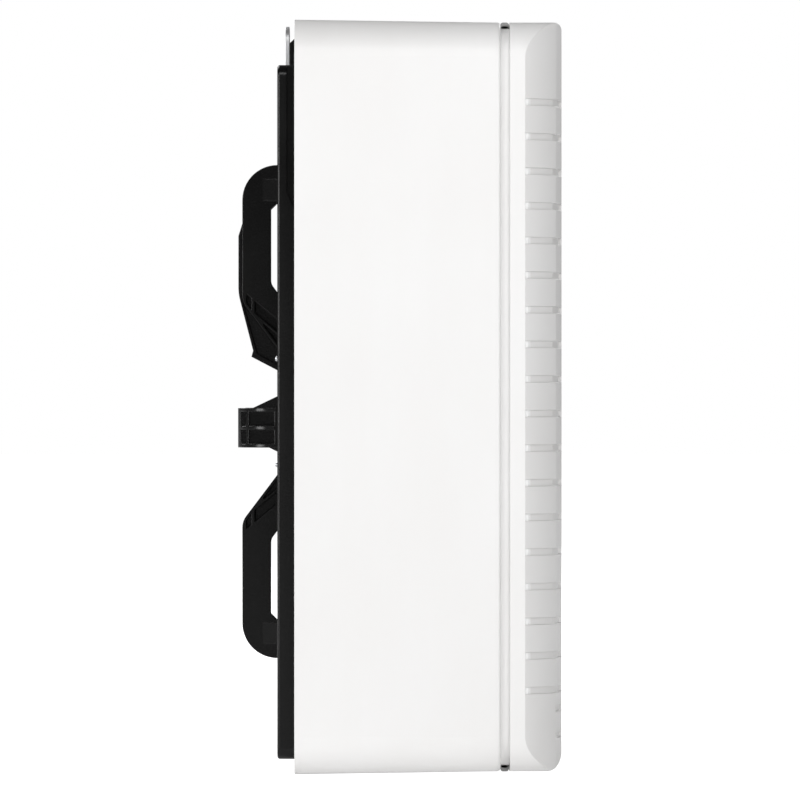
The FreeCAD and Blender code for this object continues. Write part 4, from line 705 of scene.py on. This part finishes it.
@dataclass(frozen=True)
class Screw:
    """One kind of screw, modelled once along Z with the top of its head at zero.

    The dome and the recess are shares of the head, the thread and the point shares of the shank.
    """

    head_radius: float
    head_height: float
    shank_radius: float
    drive: Drive = Drive.CROSS
    sides: int = 40
    dome: float = 0.3
    thread_root: float = 0.8
    thread_crest: float = 1.25
    thread_pitch: float = 0.7
    point: float = 0.55
    recess_width: float = 0.24
    recess_depth: float = 0.62
    cross_reach: float = 0.5
    cross_floor: Triple = (0.72, 0.72, 1.0)
    slot_reach: float = 1.2
    slot_floor: Triple = (1.0, 0.9, 1.0)

    def model(self, length: float) -> bpy.types.Object:
        """Turns, threads and recesses the screw."""
        deselect()
        bpy.ops.mesh.primitive_cylinder_add(
            vertices=self.sides,
            radius=self.head_radius,
            depth=self.head_height,
            location=(0.0, 0.0, -self.head_height / 2),
        )
        piece = settled()
        pick_faces(piece, upward)
        bpy.ops.mesh.bevel(offset=self.head_height * self.dome, segments=4, affect="EDGES")
        self._shank(piece, length - self.head_height)
        self._recess(piece)
        return smoothed(piece, 35.0)

    def _shank(self, piece: bpy.types.Object, run: float) -> None:
        """Draws the shank out of the head's underside, with rolled threads and a point."""
        pick_faces(piece, downward)
        bpy.ops.mesh.inset(thickness=self.head_radius - self.shank_radius * self.thread_root)
        turns = max(3, round(run / (self.shank_radius * self.thread_pitch)))
        pitch = run / (turns + 1)
        for _ in range(turns):
            grow(-pitch * 0.5, self.thread_crest)
            grow(-pitch * 0.5, self.thread_root)
        grow(-pitch, self.point)

    def _recess(self, piece: bpy.types.Object) -> None:
        """Cuts the drive into the head."""
        cross = self.drive is Drive.CROSS
        width = self.head_radius * self.recess_width
        deep = self.head_height * self.recess_depth
        reach = self.head_radius * (self.cross_reach if cross else self.slot_reach)
        deselect()
        bpy.ops.mesh.primitive_cube_add(size=1.0, location=(0.0, 0.0, 0.0))
        tool = settled((width, width, deep * 2))

        def sideways(middle: Vector, normal: Vector) -> bool:
            """Whether a face of the tool is drawn out to a wing."""
            return abs(normal.x) > FACING or (cross and abs(normal.y) > FACING)

        pick_faces(tool, sideways)
        bpy.ops.mesh.extrude_faces_move(TRANSFORM_OT_shrink_fatten={"value": reach})
        pick_faces(tool, downward)
        bpy.ops.transform.resize(value=self.cross_floor if cross else self.slot_floor)
        bpy.ops.object.mode_set(mode="OBJECT")
        cut_away(piece, tool)


@dataclass(frozen=True)
class HexNut:
    """A nut, modelled along Z with its outer face at zero.

    The chamfer and the depth of the mouth are shares of its length, the mouth one of its bore.
    """

    radius: float
    bore: float
    bore_sides: int = 32
    chamfer: float = 0.12
    mouth: float = 1.35
    mouth_depth: float = 0.15

    def model(self, length: float) -> bpy.types.Object:
        """Shapes the six sides, breaks their edges and drills the thread."""
        deselect()
        middle = (0.0, 0.0, -length / 2)
        bpy.ops.mesh.primitive_cylinder_add(
            vertices=6, radius=self.radius, depth=length, location=middle
        )
        piece = settled()
        pick_faces(piece, lambda middle, normal: abs(normal.z) > FACING)
        bpy.ops.mesh.bevel(offset=length * self.chamfer, segments=3, affect="EDGES")
        deselect()
        bpy.ops.mesh.primitive_cylinder_add(
            vertices=self.bore_sides, radius=self.bore, depth=length * 3, location=middle
        )
        drill = settled()
        pick_faces(drill, upward)
        bpy.ops.transform.translate(value=(0.0, 0.0, -length * (1.0 + self.mouth_depth)))
        grow(length * 2 * self.mouth_depth, self.mouth)
        grow(length)
        bpy.ops.object.mode_set(mode="OBJECT")
        cut_away(piece, drill)
        return smoothed(piece, 30.0)


@dataclass(frozen=True)
class Grommet:
    """Rubber cable entry, modelled along Z with its outer rim at zero."""

    sides: int = 48
    neck: float = 6.9 * MM
    collar: float = 8.7 * MM
    collar_from: float = 2.6 * MM
    collar_height: float = 3.0 * MM
    lip: float = 0.5 * MM
    mouth: float = 4.6 * MM
    throat: float = 2.6 * MM
    funnel_depth: float = 1.4 * MM
    skin: tuple[tuple[float, float], ...] = ((0.3 * MM, 0.8), (0.0, 0.35), (-0.25 * MM, 0.6))

    def model(self, length: float) -> bpy.types.Object:
        """Draws the neck, the collar behind the panel and the funnel with its closed skin."""
        deselect()
        bpy.ops.mesh.primitive_cylinder_add(
            vertices=self.sides,
            radius=self.neck,
            depth=self.collar_from,
            location=(0.0, 0.0, -self.collar_from / 2),
        )
        piece = settled()
        pick_faces(piece, upward)
        bpy.ops.mesh.bevel(offset=self.lip, segments=3, affect="EDGES")
        pick_faces(piece, lambda middle, normal: normal.z > SQUARE)
        bpy.ops.mesh.inset(thickness=self.neck - self.lip - self.mouth)
        grow(-self.lip, 0.94)
        grow(-self.funnel_depth, self.throat / self.mouth)
        for rise, share in self.skin:
            grow(rise, share)
        pick_faces(piece, lambda middle, normal: normal.z < -SQUARE)
        self._collar_and_tail(length - self.collar_from - self.collar_height)
        return smoothed(piece, 35.0)

    def _collar_and_tail(self, tail: float) -> None:
        """Draws the collar and the hollow tail out of the neck's lower end."""
        grow(0.0, self.collar / self.neck)
        grow(-self.collar_height * 0.8)
        grow(-self.collar_height * 0.2, 0.95)
        grow(0.0, self.neck / self.collar)
        grow(-tail * 0.7)
        grow(-tail * 0.3, 0.86)
        bpy.ops.mesh.inset(thickness=self.neck * 0.3)
        grow(tail * 0.9, 0.9)


@dataclass(frozen=True)
class BulbSeal:
    """Hollow rubber strip that fills the groove along one edge of the casing.

    The hollow's width, height and drop are shares of the strip's depth and height.
    """

    crown: float = 1.3 * MM
    hollow_sides: int = 32
    hollow_width: float = 0.84
    hollow_height: float = 0.36
    hollow_drop: float = 0.24
    hollow_depth: float = 40 * MM

    def model(self, low: Vector, high: Vector, outward: float) -> bpy.types.Object:
        """Rounds a strip's outer side and opens the hollow at both of its ends.

        Args:
            low: lowest corner of the strip.
            high: highest corner of the strip.
            outward: 1 for a strip on the top edge, -1 for one on the bottom edge.

        Returns:
            The strip.
        """
        deselect()
        size = high - low
        middle = (low + high) / 2
        bpy.ops.mesh.primitive_cube_add(size=1.0, location=middle)
        piece = settled(size)
        pick_faces(piece, lambda middle, normal: normal.z * outward > FACING)
        bpy.ops.mesh.bevel(offset=self.crown, segments=6, affect="EDGES")
        drop = outward * size.z * self.hollow_drop
        for end in (low.x, high.x):
            self._open_end(piece, (end, middle.y, middle.z - drop), size)
        return smoothed(piece, 30.0)

    def _open_end(self, piece: bpy.types.Object, place: Triple, size: Vector) -> None:
        """Cuts the flattened hollow into one end of a strip."""
        deselect()
        bpy.ops.mesh.primitive_cylinder_add(
            vertices=self.hollow_sides,
            radius=0.5,
            depth=self.hollow_depth * 2,
            location=place,
            rotation=(0.0, math.radians(90.0), 0.0),
        )
        tool = settled()
        bpy.ops.object.mode_set(mode="EDIT")
        bpy.ops.mesh.select_all(action="SELECT")
        bpy.ops.transform.resize(
            value=(1.0, size.y * self.hollow_width, size.z * self.hollow_height),
            center_override=place,
        )
        bpy.ops.object.mode_set(mode="OBJECT")
        cut_away(piece, tool)


@dataclass(frozen=True)
class LidRib:
    """Stiffening rib across the inside of the lid, where the arm turns down to the hub.

    Each rise is a lean, a height and the share of the depth that is left.
    """

    width: float = 9.0 * MM
    foot: tuple[float, float] = (17.35 * MM, 49.0 * MM)
    foot_depth: float = 2.3 * MM
    foot_height: float = 0.8 * MM
    rises: tuple[Triple, ...] = (
        (0.55 * MM, 1.2 * MM, 0.62),
        (0.62 * MM, 1.4 * MM, 0.6),
        (0.55 * MM, 2.4 * MM, 0.4),
    )
    narrowing: float = 0.96
    edge: float = 0.12 * MM

    def model(self) -> bpy.types.Object:
        """Draws the rib up from its foot in leaning steps, each thinner than the last."""
        deselect()
        bpy.ops.mesh.primitive_cube_add(size=1.0, location=(0.0, *self.foot))
        piece = settled((self.width, self.foot_depth, self.foot_height))
        pick_faces(piece, upward)
        for lean, rise, share in self.rises:
            bpy.ops.mesh.extrude_region_move(
                TRANSFORM_OT_translate={"value": (0.0, lean, rise)}
            )
            bpy.ops.transform.resize(value=(self.narrowing, share, 1.0))
        bpy.ops.mesh.select_all(action="SELECT")
        bpy.ops.mesh.bevel(offset=self.edge, segments=2, affect="EDGES")
        return smoothed(piece, 35.0)


CASE_SCREW = Screw(3.8 * MM, 2.4 * MM, 2.0 * MM)
SMALL_SCREW = Screw(3.0 * MM, 1.8 * MM, 1.6 * MM)
MOTOR_BOLT = Screw(3.2 * MM, 2.0 * MM, 1.9 * MM)
TERMINAL_SCREW = Screw(2.58 * MM, 1.6 * MM, 1.5 * MM, Drive.SLOT)
MOTOR_NUT = HexNut(4.04 * MM, 1.92 * MM)


@dataclass
class SubAssembly:
    """Nodes that belong together, with the finish that each of them gets."""

    finishes: dict[str, Finish] = field(default_factory=dict)

    def build(self) -> None:
        """Models the pieces that the solids lack."""

    def dress(self) -> None:
        """Gives each solid its finish."""
        for node, finish in self.finishes.items():
            PAINT.cover(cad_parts[node], finish)
            LOG.info("%s dressed in %s", node, finish.name)

    def keep(
        self, piece: bpy.types.Object, name: str, body: str, finish: Finish, *nodes: str
    ) -> None:
        """Names a new piece, dresses it and lets it ride.

        Args:
            piece: the piece.
            name: its name.
            body: the body that carries it.
            finish: its finish.
            nodes: solids that it stands for.
        """
        piece.name = name
        piece.data.name = name
        PAINT.cover(piece, finish)
        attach(piece, body)
        if nodes:
            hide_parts(*nodes)
        LOG.info("%s modelled, %d faces", name, len(piece.data.polygons))

    def fasteners(self, node: str, made: Fastener, toward: Toward, finish: Finish) -> None:
        """Puts a modelled fastener of the frame in the place of each solid of a node.

        Args:
            node: the CAD node of the fasteners.
            made: how they are made.
            toward: the side that their outer ends face.
            finish: their finish.
        """
        places = islands(node)
        low, high = places[0]
        master = made.model(high.y - low.y)
        turn = Matrix.Rotation(math.radians(-90.0 * toward.value), 4, "X")
        for index, (low, high) in enumerate(places, 1):
            middle = (low + high) / 2
            middle.y = high.y if toward is Toward.WINDOW else low.y
            spin = Matrix.Rotation(index * FASTENER_TURN, 4, "Z")
            copy = master.copy()
            copy.data = master.data.copy()
            bpy.context.scene.collection.objects.link(copy)
            copy.data.transform(Matrix.Translation(middle) @ turn @ spin)
            self.keep(copy, f"{node}_{index}", "frame", finish, node)
        bpy.data.objects.remove(master)


@dataclass
class Casing(SubAssembly):
    """White box with the neck for the cover, its seals and peg sockets."""

    finishes: dict[str, Finish] = field(
        default_factory=lambda: {"casing": WHITE_SHELL, "peg_sockets": BLACK_RUBBER}
    )
    seal: BulbSeal = BulbSeal()

    def build(self) -> None:
        """Models the strips in the groove."""
        for low, high in islands("cover_seals"):
            name, outward = ("seal_top", 1.0) if low.z > 0.0 else ("seal_bottom", -1.0)
            strip = self.seal.model(low, high, outward)
            self.keep(strip, name, "frame", GREY_RUBBER, "cover_seals")


@dataclass
class FrontCover(SubAssembly):
    """White slotted cover."""

    finishes: dict[str, Finish] = field(default_factory=lambda: {"front_cover": COVER_SHELL})


@dataclass
class RearPanel(SubAssembly):
    """Black panel on the window side with its hangers, case screws and inlet cone."""

    finishes: dict[str, Finish] = field(
        default_factory=lambda: {
            "rear_panel": BLACK_SHELL,
            "hanger_tabs": ZINC_SHEET,
            "inlet_cone": BLACK_SHELL,
        }
    )
    case_screw: Screw = CASE_SCREW
    tab_screw: Screw = SMALL_SCREW

    def build(self) -> None:
        """Models the screws."""
        self.fasteners("case_screws", self.case_screw, Toward.WINDOW, STEEL)
        self.fasteners("hanger_screws", self.tab_screw, Toward.ROOM, STEEL)


@dataclass
class MotorSpider(SubAssembly):
    """Black ring, arms and hub that carry the motor, with the lid over its lead."""

    finishes: dict[str, Finish] = field(
        default_factory=lambda: {"motor_spider": BLACK_SHELL, "lead_cover": BLACK_SHELL}
    )
    ring_screw: Screw = SMALL_SCREW
    lid_rib: LidRib = LidRib()

    def build(self) -> None:
        """Models the screws of the ring and the rib inside the lid."""
        self.fasteners("spider_screws", self.ring_screw, Toward.WINDOW, STEEL)
        self.keep(self.lid_rib.model(), "lid_rib", "frame", BLACK_SHELL)


@dataclass
class Motor(SubAssembly):
    """Motor on the spider's hub."""

    finishes: dict[str, Finish] = field(
        default_factory=lambda: {
            "motor_rear_cap": ALLOY,
            "motor_front_cap": ALLOY,
            "stator_core": SHEETS,
            "stator_winding": WIRE,
            "rear_bearing": BRONZE,
            "front_bearing": BRONZE,
        }
    )
    bolt: Screw = MOTOR_BOLT
    nut: HexNut = MOTOR_NUT

    def build(self) -> None:
        """Models the through bolts and their nuts."""
        self.fasteners("motor_bolts", self.bolt, Toward.ROOM, STEEL)
        self.fasteners("motor_nuts", self.nut, Toward.WINDOW, STEEL)


@dataclass
class Fan(SubAssembly):
    """What turns: shaft, rotor and impeller."""

    finishes: dict[str, Finish] = field(
        default_factory=lambda: {
            "shaft": STEEL,
            "drive_pin": STEEL,
            "rotor_core": SHEETS,
            "impeller": FAN_SHELL,
            "spinner_nut": FAN_SHELL,
        }
    )


@dataclass
class Shutter(SubAssembly):
    """Frame with the coupled flaps behind the cover."""

    flaps: int = 7
    screw: Screw = SMALL_SCREW

    def __post_init__(self) -> None:
        """Gives the frame, the tie bar and the flaps one finish."""
        names = ["shutter_frame", "tie_bar"]
        names += [f"flap_{number}" for number in range(1, self.flaps + 1)]
        self.finishes = dict.fromkeys(names, FLAP_SHELL)

    def build(self) -> None:
        """Models the screws of the frame."""
        self.fasteners("shutter_screws", self.screw, Toward.WINDOW, STEEL)


@dataclass
class Wiring(SubAssembly):
    """Terminal block with its lid, and the rubber cable entry."""

    finishes: dict[str, Finish] = field(
        default_factory=lambda: {
            "terminal_block": TERMINAL_SHELL,
            "terminal_lid": TERMINAL_SHELL,
        }
    )
    screw: Screw = TERMINAL_SCREW
    gland: Grommet = Grommet()

    def build(self) -> None:
        """Models the terminal screws and the cable entry."""
        self.fasteners("terminal_screws", self.screw, Toward.ROOM, BRASS)
        self.fasteners("cable_gland", self.gland, Toward.WINDOW, BLACK_RUBBER)


@dataclass(frozen=True)
class SoftBox:
    """A large soft lamp that looks at the middle of the fan."""

    name: str
    place: Triple
    size: tuple[float, float]
    power: float
    aim: Triple = (0.0, -0.06, 0.0)

    def hang(self) -> None:
        """Adds the lamp."""
        data = bpy.data.lights.new(self.name, "AREA")
        data.shape = "RECTANGLE"
        data.size, data.size_y = self.size
        data.energy = self.power
        lamp = bpy.data.objects.new(self.name, data)
        bpy.context.scene.collection.objects.link(lamp)
        lamp.location = self.place
        look = Vector(self.aim) - Vector(self.place)
        lamp.rotation_euler = look.to_track_quat("-Z", "Y").to_euler()


@dataclass
class Studio:
    """Plain pale floor, soft lamps, pale surroundings and the camera.

    The camera sees the floor and the backdrop brighter than they light the fan.
    """

    floor_size: float = 40.0
    floor_tones: tuple[Colour, Colour] = (grey(0.72), grey(0.76))
    floor_glow: float = 0.22
    floor_glow_seen: float = 0.97
    ambient: float = 0.12
    ambient_seen: float = 1.0
    lamps: tuple[SoftBox, ...] = (
        SoftBox("window_side", (-2.9, 2.85, 0.5), (1.6, 1.3), 62.0),
        SoftBox("room_side", (-3.6, -1.7, 0.5), (1.4, 1.3), 39.0),
        SoftBox("near_side", (-3.8, 0.1, 1.85), (3.0, 0.9), 38.5),
        SoftBox("front_fill", (3.6, -2.3, 1.6), (2.0, 2.0), 52.0),
        SoftBox("far_side", (2.2, 1.9, 2.7), (2.2, 2.2), 76.0),
    )
    camera_place: Triple = (-3.596, -0.0569, 0.0056)
    lens: float = 333.6
    sensor: float = 36.0
    clip: tuple[float, float] = (0.05, 100.0)

    def floor(self) -> None:
        """Lays the floor under the casing."""
        deselect()
        low, _ = CAD_BOX
        bpy.ops.mesh.primitive_plane_add(size=self.floor_size, location=(0.0, 0.0, low.z))
        floor = bpy.context.object
        floor.name = "floor"
        material = bpy.data.materials.new("pale_floor")
        material.use_nodes = True
        graph = Graph(material.node_tree)
        tone = graph.ramp(graph.noise(1.5, 2.0), (0.3, 0.0), (0.7, 1.0))
        colour = graph.mixed(tone, *self.floor_tones)
        paint = graph.add("ShaderNodeBsdfDiffuse", inputs={"Color": colour})
        lit = []
        for strength in (self.floor_glow, self.floor_glow_seen):
            glow = graph.add(
                "ShaderNodeEmission", inputs={"Color": grey(1.0), "Strength": strength}
            )
            lit.append(graph.add("ShaderNodeAddShader", inputs={0: paint, 1: glow}))
        both = self._by_camera(graph, *lit)
        graph.add("ShaderNodeOutputMaterial", inputs={"Surface": both})
        floor.data.materials.append(material)

    def _by_camera(self, graph: Graph, unseen: Value, seen: Value) -> Value:
        """One shader for the light on the fan and another for what the camera sees."""
        ray = graph.add("ShaderNodeLightPath", output="Is Camera Ray")
        return graph.add("ShaderNodeMixShader", inputs={0: ray, 1: unseen, 2: seen})

    def surroundings(self) -> None:
        """Pale backdrop for the camera, soft fill for the object."""
        world = bpy.data.worlds.new("studio")
        bpy.context.scene.world = world
        world.use_nodes = True
        graph = Graph(world.node_tree)
        skies = [
            graph.add("ShaderNodeBackground", inputs={"Color": grey(1.0), "Strength": strength})
            for strength in (self.ambient, self.ambient_seen)
        ]
        both = self._by_camera(graph, *skies)
        graph.add("ShaderNodeOutputWorld", inputs={"Surface": both})

    def camera(self) -> None:
        """Stands the camera where the photograph was taken from."""
        data = bpy.data.cameras.new("camera")
        data.lens = self.lens
        data.sensor_width = self.sensor
        data.clip_start, data.clip_end = self.clip
        camera = bpy.data.objects.new("camera", data)
        bpy.context.scene.collection.objects.link(camera)
        turn = (
            Matrix.Rotation(math.radians(-90.0), 4, "Z")
            @ Matrix.Rotation(math.radians(90.0), 4, "X")
        )
        camera.matrix_world = Matrix.Translation(self.camera_place) @ turn
        bpy.context.scene.camera = camera

    def build(self) -> None:
        """Sets up everything round the object."""
        self.floor()
        self.surroundings()
        for lamp in self.lamps:
            lamp.hang()
        self.camera()
        bpy.context.scene.view_settings.view_transform = "Standard"


def main() -> None:
    """Builds and dresses the fan, piece by piece, and sets up the studio."""
    logging.basicConfig(level=logging.INFO, format="%(name)s: %(message)s")
    groups: list[SubAssembly] = [
        Casing(),
        FrontCover(),
        RearPanel(),
        MotorSpider(),
        Motor(),
        Fan(),
        Shutter(),
        Wiring(),
    ]
    Studio().build()
    for group in groups:
        group.build()
        group.dress()
    deselect()


if __name__ == "__main__":
    main()
